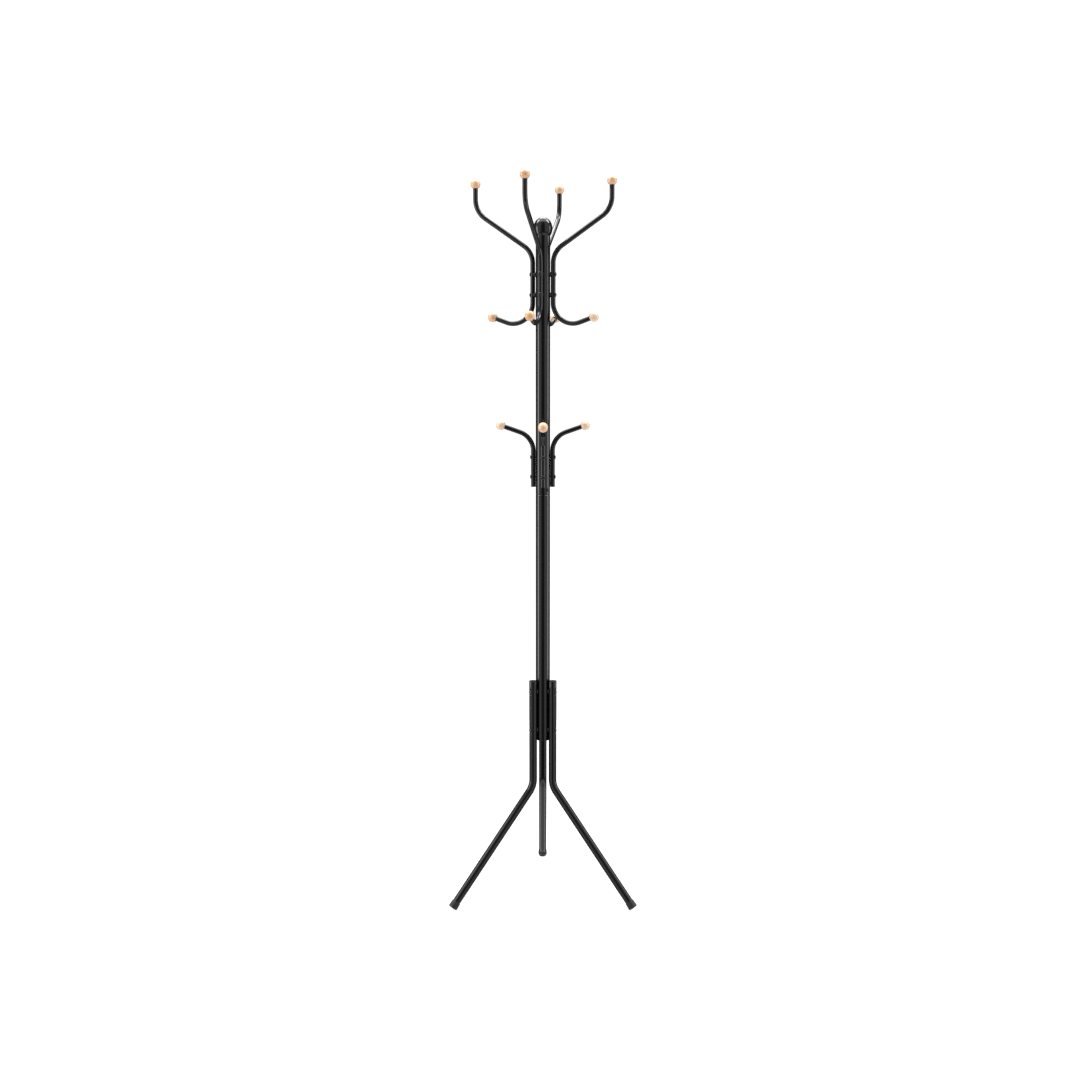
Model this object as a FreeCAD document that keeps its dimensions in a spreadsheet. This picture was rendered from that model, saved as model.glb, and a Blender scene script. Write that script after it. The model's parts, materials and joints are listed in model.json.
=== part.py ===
import FreeCAD, Part
import Sketcher
import math
import os
import re

# Standing coat rack: a two-piece steel pole on three bent tube legs, with four double
# hooks round its head, four single hooks round its middle and a turned wooden ball on
# every hook end.
#
# Frame: +Z up, millimetres, floor at Z = 0, front towards -Y.  The origin lies on the
# floor under the middle of the rack's outline.  The pole's axis stands pole_setback in
# front of it, because the rear foot reaches further back than the front hook reaches
# forward.  Each piece is drawn as if it stood in the XZ plane, at its distance from the
# pole's axis, and is then turned about that axis to its side of the pole.

SIZES = [
    # alias, value
    ("pole_setback", 46.04),        # from the pole's axis to the middle of the outline
    # pole
    ("pole_radius", 18.0),
    ("pole_wall", 1.2),
    ("pole_foot", 409.0),           # lower edge of the lower tube
    ("pole_joint", 1041.0),         # where the two tubes meet
    ("pole_top", 1679.0),           # upper edge of the upper tube
    ("joint_seam", 0.2),
    ("swage_height", 1.6),          # cone between the lower tube and its neck
    ("neck_gap", 0.15),             # play between the neck and the upper tube
    ("neck_length", 38.0),
    # plastic cap, plug and spigots
    ("spigot_gap", 0.12),
    ("spigot_wall", 2.0),
    ("cap_radius", 23.5),
    ("cap_half_height", 28.0),
    ("cap_cut", 18.0),              # from the cap's widest ring down to the tube's edge
    ("cap_spigot", 20.0),
    ("plug_rim", 2.0),
    ("plug_dome", 3.0),
    ("plug_spigot", 16.0),
    # snap button and its spring clip
    ("button_turn", -45.0),
    ("button_level", 1053.0),
    ("button_radius", 4.9),
    ("button_slide_gap", 0.08),
    ("button_hole_gap", 0.5),
    ("button_proud", 2.4),
    ("button_dome", 2.0),
    ("flange_radius", 6.5),
    ("flange_face", 13.8),
    ("flange_thickness", 1.0),
    ("clip_width", 8.0),
    ("clip_strip", 0.8),
    ("clip_upright", 9.0),
    ("clip_depth", 46.0),
    ("clip_bend", 3.2),
    # fasteners
    ("shank_radius", 2.95),
    ("bolt_tip", 7.5),              # from the pole's axis to the end of every bolt
    ("head_radius", 5.5),
    ("head_rim", 0.8),
    ("head_dome", 2.3),
    ("socket_flats", 4.0),
    ("socket_depth", 1.8),
    ("bolt_hole", 3.2),
    ("insert_bore", 3.05),
    ("insert_radius", 4.4),
    ("insert_crimp", 5.6),
    ("insert_mouth", 17.4),
    ("insert_end", 9.0),
    ("spacer_radius", 6.2),
    ("seat_gap", 0.05),
    # hook rods
    ("rod_radius", 6.0),
    ("rod_wall", 1.2),
    ("rod_flat", 0.6),              # depth of the flat under a bolt head
    ("rod_flat_radius", 5.8),
    ("ball_radius", 12.3),
    ("ball_flat_radius", 7.2),
    ("ball_bore_gap", 0.1),
    # upper double hooks
    ("upper_turn", -14.3),
    ("upper_offset", 26.0),
    ("peg_reach", 172.5),
    ("peg_height", 1807.7),
    ("peg_upright", 67.0),
    ("peg_bend", 55.0),
    ("arm_tilt", 55.5),
    ("arm_bend", 52.0),
    ("crook_bend", 50.5),
    ("crook_rise", 20.0),
    ("crook_reach", 129.0),
    ("crook_height", 1481.6),
    ("upper_bolt_level", 1585.6),
    ("upper_bolt_drop", 49.9),
    # lower single hooks
    ("lower_offset", 24.1),
    ("lower_foot", 1059.5),
    ("lower_bend", 50.0),
    ("lower_rise", 19.5),
    ("lower_reach", 105.5),
    ("lower_height", 1214.0),
    ("lower_bolt_level", 1134.2),
    ("lower_bolt_drop", 49.3),
    ("end_plug_rim", 1.8),
    ("end_plug_spigot", 8.0),
    # legs
    ("leg_radius", 10.0),
    ("leg_wall", 1.2),
    ("leg_offset", 28.8),
    ("leg_top", 562.0),
    ("leg_corner", 287.0),
    ("leg_bend", 50.0),
    ("leg_splay", 39.8),
    ("leg_bolt_level", 535.3),
    ("leg_bolt_drop", 100.4),
    ("dimple_radius", 8.6),
    ("dimple_depth", 2.2),
    ("leg_plug_rim", 1.6),
    ("leg_plug_spigot", 10.0),
    # rubber foot caps
    ("foot_radius", 11.7),
    ("foot_mouth_radius", 11.1),
    ("foot_length", 19.0),
    ("foot_floor", 4.0),
    ("foot_round", 2.0),
    ("foot_dome", 0.8),
    ("foot_flat", 1.2),             # how far the moulded flat cuts into the rounded edge
]

FULL_TURN = 360.0
SIDES_OF_FOUR = ("right", "back", "left", "front")
LEG_TURNS = {"leg_rear": 90.0, "leg_front_left": 210.0, "leg_front_right": 330.0}

# Heights and reaches that follow from the driving sizes, as formulas on their names.
PEG_CORNER = "(peg_height - peg_upright)"
ARM_CORNER = f"({PEG_CORNER} - (peg_reach - upper_offset) / tan(arm_tilt))"
CROOK_CORNER = "(crook_height - (crook_reach - upper_offset) * tan(crook_rise))"
LOWER_CORNER = "(lower_height - (lower_reach - lower_offset) * tan(lower_rise))"
FOOT_END_HEIGHT = (
    "((foot_radius - foot_round) * sin(leg_splay)"
    " - (foot_round + foot_dome) * cos(leg_splay) + foot_round - foot_flat)"
)
FOOT_END_REACH = f"(leg_offset + (leg_corner - {FOOT_END_HEIGHT}) * tan(leg_splay))"
LEG_END_HEIGHT = f"({FOOT_END_HEIGHT} + foot_floor * cos(leg_splay))"
LEG_END_REACH = f"({FOOT_END_REACH} - foot_floor * sin(leg_splay))"
NECK_RADIUS = "(pole_radius - pole_wall - neck_gap)"
BALL_FLAT = "sqrt(ball_radius * ball_radius - ball_flat_radius * ball_flat_radius)"

doc = FreeCAD.newDocument("CoatRack")
sheet = doc.addObject("Spreadsheet::Sheet", "Sizes")
for row, (alias, number) in enumerate(SIZES, start=1):
    sheet.set(f"A{row}", alias)
    sheet.set(f"B{row}", str(number))
    sheet.setAlias(f"B{row}", alias)
doc.recompute()

ALIASES = {alias for alias, number in SIZES}
SUB_PARTS = []


# ---------------------------------------------------------------- formulas and sketches

def full_names(formula):
    """Write every size in a formula as a reference to the sheet."""
    return re.sub(r"[a-z_]+", lambda m: "Sizes." + m.group() if m.group() in ALIASES else m.group(),
                  formula)


def value(formula):
    """The number that a formula gives now."""
    result = sheet.evalExpression(full_names(formula))
    return float(getattr(result, "Value", result))


def bind(owner, prop, formula):
    owner.setExpression(prop, full_names(formula))


def origin_part(body, role):
    return next(part for part in body.Origin.OriginFeatures if part.Role == role)


def add_sketch(body, name, role, x="0", y="0", z="0", turn="0", about=(0, 0, 1)):
    """Sketch on one of the body's planes, moved and then turned within that plane's own axes."""
    sketch = body.newObject("Sketcher::SketchObject", name)
    sketch.AttachmentSupport = [(origin_part(body, role), "")]
    sketch.MapMode = "FlatFace"
    shift = FreeCAD.Vector(value(x), value(y), value(z))
    rotation = FreeCAD.Rotation(FreeCAD.Vector(*about), value(turn))
    sketch.AttachmentOffset = FreeCAD.Placement(shift, rotation)
    for prop, formula in (("Base.x", x), ("Base.y", y), ("Base.z", z), ("Rotation.Angle", turn)):
        if formula != "0":
            bind(sketch, "AttachmentOffset." + prop, formula)
    return sketch


def hold_point(sketch, geometry, vertex, x, y):
    """Fix one vertex of a sketch at two bound distances from the sketch's origin."""
    for kind, formula, axis in (("DistanceX", x, -2), ("DistanceY", y, -1)):
        if formula == "0":
            sketch.addConstraint(Sketcher.Constraint("PointOnObject", geometry, vertex, axis))
            continue
        rule = Sketcher.Constraint(kind, -1, 1, geometry, vertex, value(formula))
        bind(sketch, f"Constraints[{sketch.addConstraint(rule)}]", formula)


def hold_radius(sketch, geometry, formula):
    rule = Sketcher.Constraint("Radius", geometry, value(formula))
    bind(sketch, f"Constraints[{sketch.addConstraint(rule)}]", formula)


def arc_between(start, end, radius):
    """Arc that runs counter-clockwise from start to end, less than half a circle."""
    chord = end - start
    middle = (start + end) * 0.5
    inwards = FreeCAD.Vector(-chord.y, chord.x, 0).normalize()
    centre = middle + inwards * math.sqrt(radius ** 2 - (chord.Length / 2) ** 2)
    first = math.atan2(start.y - centre.y, start.x - centre.x)
    last = math.atan2(end.y - centre.y, end.x - centre.x)
    return Part.ArcOfCircle(Part.Circle(centre, FreeCAD.Vector(0, 0, 1), radius), first, last)


def draw_outline(sketch, corners):
    """Closed counter-clockwise outline.  A corner is (x, y), and (x, y, radius) where the side
    that leaves it is an outward arc."""
    points = [FreeCAD.Vector(value(corner[0]), value(corner[1]), 0) for corner in corners]
    count = len(corners)
    for i, corner in enumerate(corners):
        start, end = points[i], points[(i + 1) % count]
        if len(corner) == 3:
            sketch.addGeometry(arc_between(start, end, value(corner[2])))
        else:
            sketch.addGeometry(Part.LineSegment(start, end))
    for i, corner in enumerate(corners):
        sketch.addConstraint(Sketcher.Constraint("Coincident", (i - 1) % count, 2, i, 1))
        hold_point(sketch, i, 1, corner[0], corner[1])
        if len(corner) == 3:
            hold_radius(sketch, i, corner[2])


def draw_circle(sketch, radius, x="0", y="0"):
    centre = FreeCAD.Vector(value(x), value(y), 0)
    circle = sketch.addGeometry(Part.Circle(centre, FreeCAD.Vector(0, 0, 1), value(radius)))
    hold_point(sketch, circle, 3, x, y)
    hold_radius(sketch, circle, radius)


def draw_bent_line(sketch, corners, radii):
    """Open line through corners, each inner one rounded by a tangent arc of its radius."""
    points = [FreeCAD.Vector(value(x), value(y), 0) for x, y in corners]
    ways = [(b - a).normalize() for a, b in zip(points, points[1:])]
    run_starts = [points[0]]
    run_ends = []
    bends = []
    for corner, way_in, way_out, radius in zip(points[1:], ways, ways[1:], radii):
        cut_back = value(radius) * math.tan(way_in.getAngle(way_out) / 2)
        enter = corner - way_in * cut_back
        leave = corner + way_out * cut_back
        turns_left = way_in.x * way_out.y - way_in.y * way_out.x > 0
        ends = (enter, leave) if turns_left else (leave, enter)
        bends.append((arc_between(*ends, value(radius)), turns_left))
        run_ends.append(enter)
        run_starts.append(leave)
    run_ends.append(points[-1])
    runs = []
    arcs = []
    for i, (start, end) in enumerate(zip(run_starts, run_ends)):
        runs.append(sketch.addGeometry(Part.LineSegment(start, end)))
        if i < len(bends):
            arcs.append(sketch.addGeometry(bends[i][0]))
    for i, arc in enumerate(arcs):
        enter_vertex, leave_vertex = (1, 2) if bends[i][1] else (2, 1)
        sketch.addConstraint(Sketcher.Constraint("Tangent", runs[i], 2, arc, enter_vertex))
        sketch.addConstraint(Sketcher.Constraint("Tangent", runs[i + 1], 1, arc, leave_vertex))
        hold_radius(sketch, arc, radii[i])
        mark = sketch.addGeometry(Part.Point(points[i + 1]), True)
        hold_point(sketch, mark, 1, *corners[i + 1])
        for run in (runs[i], runs[i + 1]):
            sketch.addConstraint(Sketcher.Constraint("PointOnObject", mark, 1, run))
    hold_point(sketch, runs[0], 1, *corners[0])
    hold_point(sketch, runs[-1], 2, *corners[-1])


# ---------------------------------------------------------------- features

def add_body(label):
    body = doc.addObject("PartDesign::Body", label)
    body.Label = label
    return body


def revolve(body, name, corners, axis, **offset):
    """Turned shape: an outline in the XZ plane spun about one of its sketch's axes."""
    sketch = add_sketch(body, name + "_outline", "XZ_Plane", **offset)
    draw_outline(sketch, corners)
    feature = body.newObject("PartDesign::Revolution", name)
    feature.Profile = sketch
    feature.ReferenceAxis = (sketch, [axis])
    feature.Angle = FULL_TURN
    return feature


def bend_tube(body, name, corners, radii, section_radii):
    """Tube carried along a bent line whose first run is upright."""
    line = add_sketch(body, name + "_line", "XZ_Plane")
    draw_bent_line(line, corners, radii)
    section = add_sketch(body, name + "_section", "XY_Plane", x=corners[0][0], z=corners[0][1])
    for radius in section_radii:
        draw_circle(section, radius)
    feature = body.newObject("PartDesign::AdditivePipe", name)
    feature.Profile = section
    feature.Spine = (line, [])
    return feature


def pocket(body, name, sketch, length, reverse):
    """Cut away what lies in front of a sketch, and make sure that something was cut."""
    doc.recompute()
    before = body.Shape.Volume
    feature = body.newObject("PartDesign::Pocket", name)
    feature.Profile = sketch
    feature.Reversed = reverse
    feature.Length = value(length)
    bind(feature, "Length", length)
    doc.recompute()
    if body.Shape.Volume >= before:
        raise RuntimeError(f"{body.Label}: {name} cuts nothing")
    return feature


def drill_outwards(body, name, radius, level, reach, start="0", turn="0"):
    """Round hole along a radius of the pole, from start to reach, at one level and side."""
    sketch = add_sketch(body, name + "_circle", "YZ_Plane", y=level, z=start, turn=turn,
                        about=(0, 1, 0))
    draw_circle(sketch, radius)
    return pocket(body, name, sketch, f"{reach} - {start}", True)


def repeat_round_pole(body, name, features, drop, sides):
    """Repeat features one step down the pole and then evenly round its axis."""
    doc.recompute()
    pattern = body.newObject("PartDesign::MultiTransform", name)
    pattern.Originals = features
    upright = origin_part(body, "Z_Axis")
    down = body.newObject("PartDesign::LinearPattern", name + "_down")
    down.Direction = (upright, [""])
    down.Reversed = True
    down.Length = value(drop)
    bind(down, "Length", drop)
    down.Occurrences = 2
    around = body.newObject("PartDesign::PolarPattern", name + "_around")
    around.Axis = (upright, [""])
    around.Angle = FULL_TURN
    around.Occurrences = sides
    pattern.Transformations = [down, around]
    body.Tip = pattern
    doc.recompute()


def place(part, turn):
    """Turn a finished piece to its side of the pole, set it at the pole and hand it in."""
    part.Placement = FreeCAD.Placement(
        FreeCAD.Vector(0, -value("pole_setback"), 0),
        FreeCAD.Rotation(FreeCAD.Vector(0, 0, 1), value(turn)))
    bind(part, "Placement.Base.y", "-pole_setback")
    bind(part, "Placement.Rotation.Angle", turn)
    SUB_PARTS.append(part)


# ---------------------------------------------------------------- pole

def make_lower_pole():
    """Lower tube with a drawn-in neck that the upper tube slips over."""
    body = add_body("lower_pole")
    bore = "pole_radius - pole_wall"
    neck_bore = f"{NECK_RADIUS} - pole_wall"
    neck_top = "pole_joint + neck_length"
    revolve(body, "drawn_tube", [
        (bore, "pole_foot"),
        ("pole_radius", "pole_foot"),
        ("pole_radius", "pole_joint - swage_height"),
        (NECK_RADIUS, "pole_joint"),
        (NECK_RADIUS, neck_top),
        (neck_bore, neck_top),
        (neck_bore, "pole_joint"),
        (bore, "pole_joint - swage_height"),
    ], "V_Axis")
    drill_outwards(body, "button_hole", "button_radius + button_slide_gap", "button_level",
                   "pole_radius", turn="button_turn")
    hole = drill_outwards(body, "leg_hole", "insert_radius", "leg_bolt_level",
                          "pole_radius + pole_wall", turn="90")
    repeat_round_pole(body, "leg_holes", [hole], "leg_bolt_drop", 3)
    place(body, "0")


def make_upper_pole():
    """Upper tube with the holes for both sets of hooks and for the snap button."""
    body = add_body("upper_pole")
    bore = "pole_radius - pole_wall"
    lower_edge = "pole_joint + joint_seam"
    revolve(body, "plain_tube", [
        (bore, lower_edge),
        ("pole_radius", lower_edge),
        ("pole_radius", "pole_top"),
        (bore, "pole_top"),
    ], "V_Axis")
    drill_outwards(body, "button_hole", "button_radius + button_hole_gap", "button_level",
                   "pole_radius + pole_wall", turn="button_turn")
    for level, turn in (("upper", "upper_turn"), ("lower", "0")):
        hole = drill_outwards(body, level + "_hole", "insert_radius", level + "_bolt_level",
                              "pole_radius + pole_wall", turn=turn)
        repeat_round_pole(body, level + "_holes", [hole], level + "_bolt_drop", 4)
    place(body, "0")


def add_cylinder(name, radius, height, x="0", z="0", lying=False):
    """Part cylinder that stands on (x, 0, z), or lies along +X from there."""
    cylinder = doc.addObject("Part::Cylinder", name)
    bind(cylinder, "Radius", radius)
    bind(cylinder, "Height", height)
    tilt = 90.0 if lying else 0.0
    cylinder.Placement = FreeCAD.Placement(
        FreeCAD.Vector(value(x), 0, value(z)), FreeCAD.Rotation(FreeCAD.Vector(0, 1, 0), tilt))
    for prop, formula in (("x", x), ("z", z)):
        if formula != "0":
            bind(cylinder, "Placement.Base." + prop, formula)
    return cylinder


def add_fusion(name, shapes):
    fusion = doc.addObject("Part::MultiFuse", name)
    fusion.Shapes = shapes
    return fusion


def add_cut(name, base, tool):
    cut = doc.addObject("Part::Cut", name)
    cut.Base = base
    cut.Tool = tool
    return cut


def add_cap_egg(name, inset):
    """Egg of the cap, cut level with the tube's edge; inset makes it thinner all over."""
    egg = doc.addObject("Part::Ellipsoid", name)
    bind(egg, "Radius1", f"cap_half_height - {inset}")
    bind(egg, "Radius2", f"cap_radius - {inset}")
    bind(egg, "Angle1", f"-asin(cap_cut / (cap_half_height - {inset}))")
    egg.Placement.Base.z = value("pole_top + cap_cut")
    bind(egg, "Placement.Base.z", "pole_top + cap_cut")
    return egg


def make_pole_top_cap():
    """Hollow egg-shaped cap with a tubular spigot that pushes into the upper tube."""
    spigot_radius = "pole_radius - pole_wall - spigot_gap"
    outer = add_fusion("cap_outer", [
        add_cap_egg("cap_egg", "0"),
        add_cylinder("cap_spigot", spigot_radius, "cap_spigot + spigot_wall",
                     z="pole_top - cap_spigot"),
    ])
    hollow = add_fusion("cap_hollow", [
        add_cap_egg("cap_hollow_egg", "spigot_wall"),
        add_cylinder("cap_spigot_bore", f"{spigot_radius} - spigot_wall",
                     "cap_spigot + spigot_wall", z="pole_top - cap_spigot"),
    ])
    cap = add_cut("pole_top_cap", outer, hollow)
    cap.Label = "pole_top_cap"
    place(cap, "0")


def make_pole_bottom_plug():
    """Shallow domed plug that closes the lower tube."""
    body = add_body("pole_bottom_plug")
    spigot_radius = "pole_radius - pole_wall - spigot_gap"
    dome_curve = "(pole_radius * pole_radius + plug_dome * plug_dome) / (2 * plug_dome)"
    revolve(body, "moulding", [
        ("0", "pole_foot - plug_rim - plug_dome", dome_curve),
        ("pole_radius", "pole_foot - plug_rim"),
        ("pole_radius", "pole_foot - spigot_gap"),
        (spigot_radius, "pole_foot - spigot_gap"),
        (spigot_radius, "pole_foot + plug_spigot"),
        (f"{spigot_radius} - spigot_wall", "pole_foot + plug_spigot"),
        (f"{spigot_radius} - spigot_wall", "pole_foot"),
        ("0", "pole_foot"),
    ], "V_Axis")
    place(body, "0")


def make_snap_button():
    """Domed button with a flange that stops against the inside of the neck."""
    body = add_body("snap_button")
    tip = "pole_radius + button_proud"
    dome_curve = "(button_radius * button_radius + button_dome * button_dome) / (2 * button_dome)"
    revolve(body, "button", [
        ("flange_face - flange_thickness", "0"),
        (tip, "0", dome_curve),
        (f"{tip} - button_dome", "button_radius"),
        ("flange_face", "button_radius"),
        ("flange_face", "flange_radius"),
        ("flange_face - flange_thickness", "flange_radius"),
    ], "H_Axis", y="button_level")
    place(body, "button_turn")


def make_button_spring():
    """V-shaped strip spring: one arm behind the button, the other on the neck's far wall."""
    body = add_body("button_spring")
    front = "flange_face - flange_thickness - 0.1 - clip_strip / 2"
    back = f"-({NECK_RADIUS} - pole_wall - 1.1)"
    top = "button_level + clip_upright"
    line = add_sketch(body, "strip_line", "XZ_Plane")
    draw_bent_line(line, [
        (front, top),
        (front, "button_level - clip_upright"),
        ("0", "button_level - clip_depth"),
        (back, top),
    ], ["clip_bend", "clip_bend"])
    section = add_sketch(body, "strip_section", "XY_Plane", x=front, z=top)
    half_strip = "clip_strip / 2"
    half_width = "clip_width / 2"
    draw_outline(section, [
        (f"-{half_strip}", f"-{half_width}"),
        (half_strip, f"-{half_width}"),
        (half_strip, half_width),
        (f"-{half_strip}", half_width),
    ])
    strip = body.newObject("PartDesign::AdditivePipe", "strip")
    strip.Profile = section
    strip.Spine = (line, [])
    place(body, "button_turn")


# ---------------------------------------------------------------- fasteners

def make_bolts(label, seat, level, drop, sides, turn):
    """Button-head socket bolts, two levels on each side; seat is where the head bears."""
    body = add_body(label)
    top = f"{seat} + head_rim + head_dome"
    dome_curve = "(head_radius * head_radius + head_dome * head_dome) / (2 * head_dome)"
    bolt = revolve(body, "bolt", [
        ("bolt_tip", "0"),
        (top, "0", dome_curve),
        (f"{seat} + head_rim", "head_radius"),
        (seat, "head_radius"),
        (seat, "shank_radius"),
        ("bolt_tip", "shank_radius"),
    ], "H_Axis", y=level)
    sketch = add_sketch(body, "socket_outline", "YZ_Plane", y=level, z=f"{top} - socket_depth")
    corner = "socket_flats / 2 / cos(30)"
    draw_outline(sketch, [(f"{corner} * cos({60 * i})", f"{corner} * sin({60 * i})")
                          for i in range(6)])
    socket = pocket(body, "socket", sketch, "socket_depth + head_dome", True)
    repeat_round_pole(body, "set", [bolt, socket], drop, sides)
    place(body, turn)


def make_inserts(label, level, drop, sides, turn):
    """Threaded rivet inserts in the pole's wall, each crimped behind it."""
    body = add_body(label)
    crimp_face = "insert_mouth - 1.6"
    insert = revolve(body, "insert", [
        ("insert_end", "insert_bore"),
        ("insert_mouth", "insert_bore"),
        ("insert_mouth", "insert_radius - seat_gap"),
        (crimp_face, "insert_radius - seat_gap"),
        (f"{crimp_face} - 0.8", "insert_crimp"),
        (f"{crimp_face} - 2.4", "insert_radius - seat_gap"),
        ("insert_end", "insert_radius - seat_gap"),
    ], "H_Axis", y=level)
    repeat_round_pole(body, "set", [insert], drop, sides)
    place(body, turn)


def make_spacers(label, tube_radius, offset, level, drop, sides, turn):
    """Saddle spacers, hollowed to the pole on one side and to the bolted tube on the other."""
    body = add_body(label)
    sketch = add_sketch(body, "blank_circle", "YZ_Plane", y=level, z="pole_radius - pole_wall")
    draw_circle(sketch, "spacer_radius")
    blank = body.newObject("PartDesign::Pad", "blank")
    blank.Profile = sketch
    bind(blank, "Length", f"{offset} - pole_radius")
    hole = drill_outwards(body, "bolt_hole", "bolt_hole", level, offset)
    saddles = []
    for name, radius, x in (("pole_saddle", "pole_radius", "0"), ("tube_saddle", tube_radius, offset)):
        sketch = add_sketch(body, name + "_circle", "XY_Plane", z=f"{level} - spacer_radius - 1")
        draw_circle(sketch, f"{radius} + seat_gap", x=x)
        saddles.append(pocket(body, name, sketch, "2 * spacer_radius + 2", True))
    repeat_round_pole(body, "set", [blank, hole] + saddles, drop, sides)
    place(body, turn)


# ---------------------------------------------------------------- hooks

def drill_rod(body, offset, level, drop):
    """At both bolt levels: a hole through the rod and a flat for the bolt's head."""
    for i, height in enumerate((level, f"{level} - {drop}"), start=1):
        drill_outwards(body, f"bolt_hole_{i}", "bolt_hole", height, f"{offset} + 2 * rod_radius")
        drill_outwards(body, f"head_flat_{i}", "rod_flat_radius", height,
                       f"({offset} + 2 * rod_radius)", start=f"({offset} + rod_radius - rod_flat)")


def make_upper_hook(label, turn):
    """Double hook: a peg that rises and flares out, and a crook that curls up below it."""
    body = add_body(label)
    bend_tube(body, "rod", [
        ("peg_reach", "peg_height"),
        ("peg_reach", PEG_CORNER),
        ("upper_offset", ARM_CORNER),
        ("upper_offset", CROOK_CORNER),
        ("crook_reach", "crook_height"),
    ], ["peg_bend", "arm_bend", "crook_bend"], ["rod_radius", "rod_radius - rod_wall"])
    drill_rod(body, "upper_offset", "upper_bolt_level", "upper_bolt_drop")
    place(body, turn)


def make_lower_hook(label, turn):
    """Single hook: an upright rod that bends out into a gently rising arm."""
    body = add_body(label)
    bend_tube(body, "rod", [
        ("lower_offset", "lower_foot + end_plug_rim"),
        ("lower_offset", LOWER_CORNER),
        ("lower_reach", "lower_height"),
    ], ["lower_bend"], ["rod_radius", "rod_radius - rod_wall"])
    drill_rod(body, "lower_offset", "lower_bolt_level", "lower_bolt_drop")
    place(body, turn)


def make_ball(label, reach, height, tilt, turn):
    """Turned ball with a drilled flat; tilt lays its bore along the end of the rod."""
    body = add_body(label)
    bore = "rod_radius + ball_bore_gap"
    revolve(body, "ball", [
        (bore, f"-{BALL_FLAT}"),
        ("ball_flat_radius", f"-{BALL_FLAT}", "ball_radius"),
        ("0", "ball_radius"),
        ("0", "0.4"),
        (bore, "0.4"),
    ], "V_Axis", x=reach, y=height, turn=tilt)
    place(body, turn)


def make_push_plug(body, name, tube_radius, tube_wall, rim, spigot, x, edge, upwards):
    """Small plug with a flat rim over the tube's edge and a plain spigot inside it."""
    spigot_radius = f"{tube_radius} - {tube_wall} - spigot_gap"
    out = "" if upwards else "-"
    back = "-" if upwards else ""
    corners = [
        ("0", f"{back}{spigot}"),
        (spigot_radius, f"{back}{spigot}"),
        (spigot_radius, f"{out}0.05"),
        (tube_radius, f"{out}0.05"),
        (tube_radius, f"{out}{rim}"),
        ("0", f"{out}{rim}"),
    ]
    if not upwards:
        corners.reverse()
    return revolve(body, name, corners, "V_Axis", x=x, y=edge)


def make_hook_end_plugs():
    """Plugs in the lower ends of the single hooks."""
    body = add_body("lower_hook_end_plugs")
    plug = make_push_plug(body, "plug", "rod_radius", "rod_wall", "end_plug_rim",
                          "end_plug_spigot", "lower_offset", "lower_foot + end_plug_rim", False)
    doc.recompute()
    around = body.newObject("PartDesign::PolarPattern", "set")
    around.Originals = [plug]
    around.Axis = (origin_part(body, "Z_Axis"), [""])
    around.Angle = FULL_TURN
    around.Occurrences = 4
    body.Tip = around
    place(body, "0")


# ---------------------------------------------------------------- legs

def sweep_leg(name, radius):
    """Round bar of a radius along the leg's bent centre line."""
    line = doc.addObject("Sketcher::SketchObject", name + "_line")
    line.Placement = FreeCAD.Placement(FreeCAD.Vector(), FreeCAD.Rotation(FreeCAD.Vector(1, 0, 0), 90))
    draw_bent_line(line, [
        ("leg_offset", "leg_top"),
        ("leg_offset", "leg_corner"),
        (LEG_END_REACH, LEG_END_HEIGHT),
    ], ["leg_bend"])
    section = doc.addObject("Part::Circle", name + "_section")
    bind(section, "Radius", radius)
    section.Placement.Base = FreeCAD.Vector(value("leg_offset"), 0, value("leg_top"))
    bind(section, "Placement.Base.x", "leg_offset")
    bind(section, "Placement.Base.z", "leg_top")
    bar = doc.addObject("Part::Sweep", name)
    bar.Sections = [section]
    bar.Spine = (line, ["Edge1", "Edge2", "Edge3"])
    bar.Solid = True
    return bar


def make_leg(label, turn):
    """Bent tube whose outer wall is pressed in, at both bolts, to sink the bolt heads."""
    crest = "leg_offset + leg_radius"
    dimples = []
    cups = []
    holes = []
    for i, level in enumerate(("leg_bolt_level", "leg_bolt_level - leg_bolt_drop"), start=1):
        dimples.append(add_cylinder(f"{label}_dimple_{i}", "dimple_radius", "dimple_depth + leg_wall",
                                    x=f"{crest} - dimple_depth", z=level, lying=True))
        cups.append(add_cylinder(f"{label}_cup_{i}", "dimple_radius + leg_wall",
                                 "dimple_depth + 2 * leg_wall",
                                 x=f"{crest} - dimple_depth - leg_wall", z=level, lying=True))
        holes.append(add_cylinder(f"{label}_hole_{i}", "bolt_hole", crest, z=level, lying=True))
    bar = sweep_leg(f"{label}_bar", "leg_radius")
    core = sweep_leg(f"{label}_core", "leg_radius - leg_wall")
    cavity = add_cut(f"{label}_cavity", core, add_fusion(f"{label}_cups", cups))
    tube = add_cut(f"{label}_tube", bar, cavity)
    leg = add_cut(label, tube, add_fusion(f"{label}_recesses", dimples + holes))
    leg.Label = label
    place(leg, turn)


def make_leg_top_plug(label, turn):
    body = add_body(label)
    make_push_plug(body, "plug", "leg_radius", "leg_wall", "leg_plug_rim", "leg_plug_spigot",
                   "leg_offset", "leg_top", True)
    place(body, turn)


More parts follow.
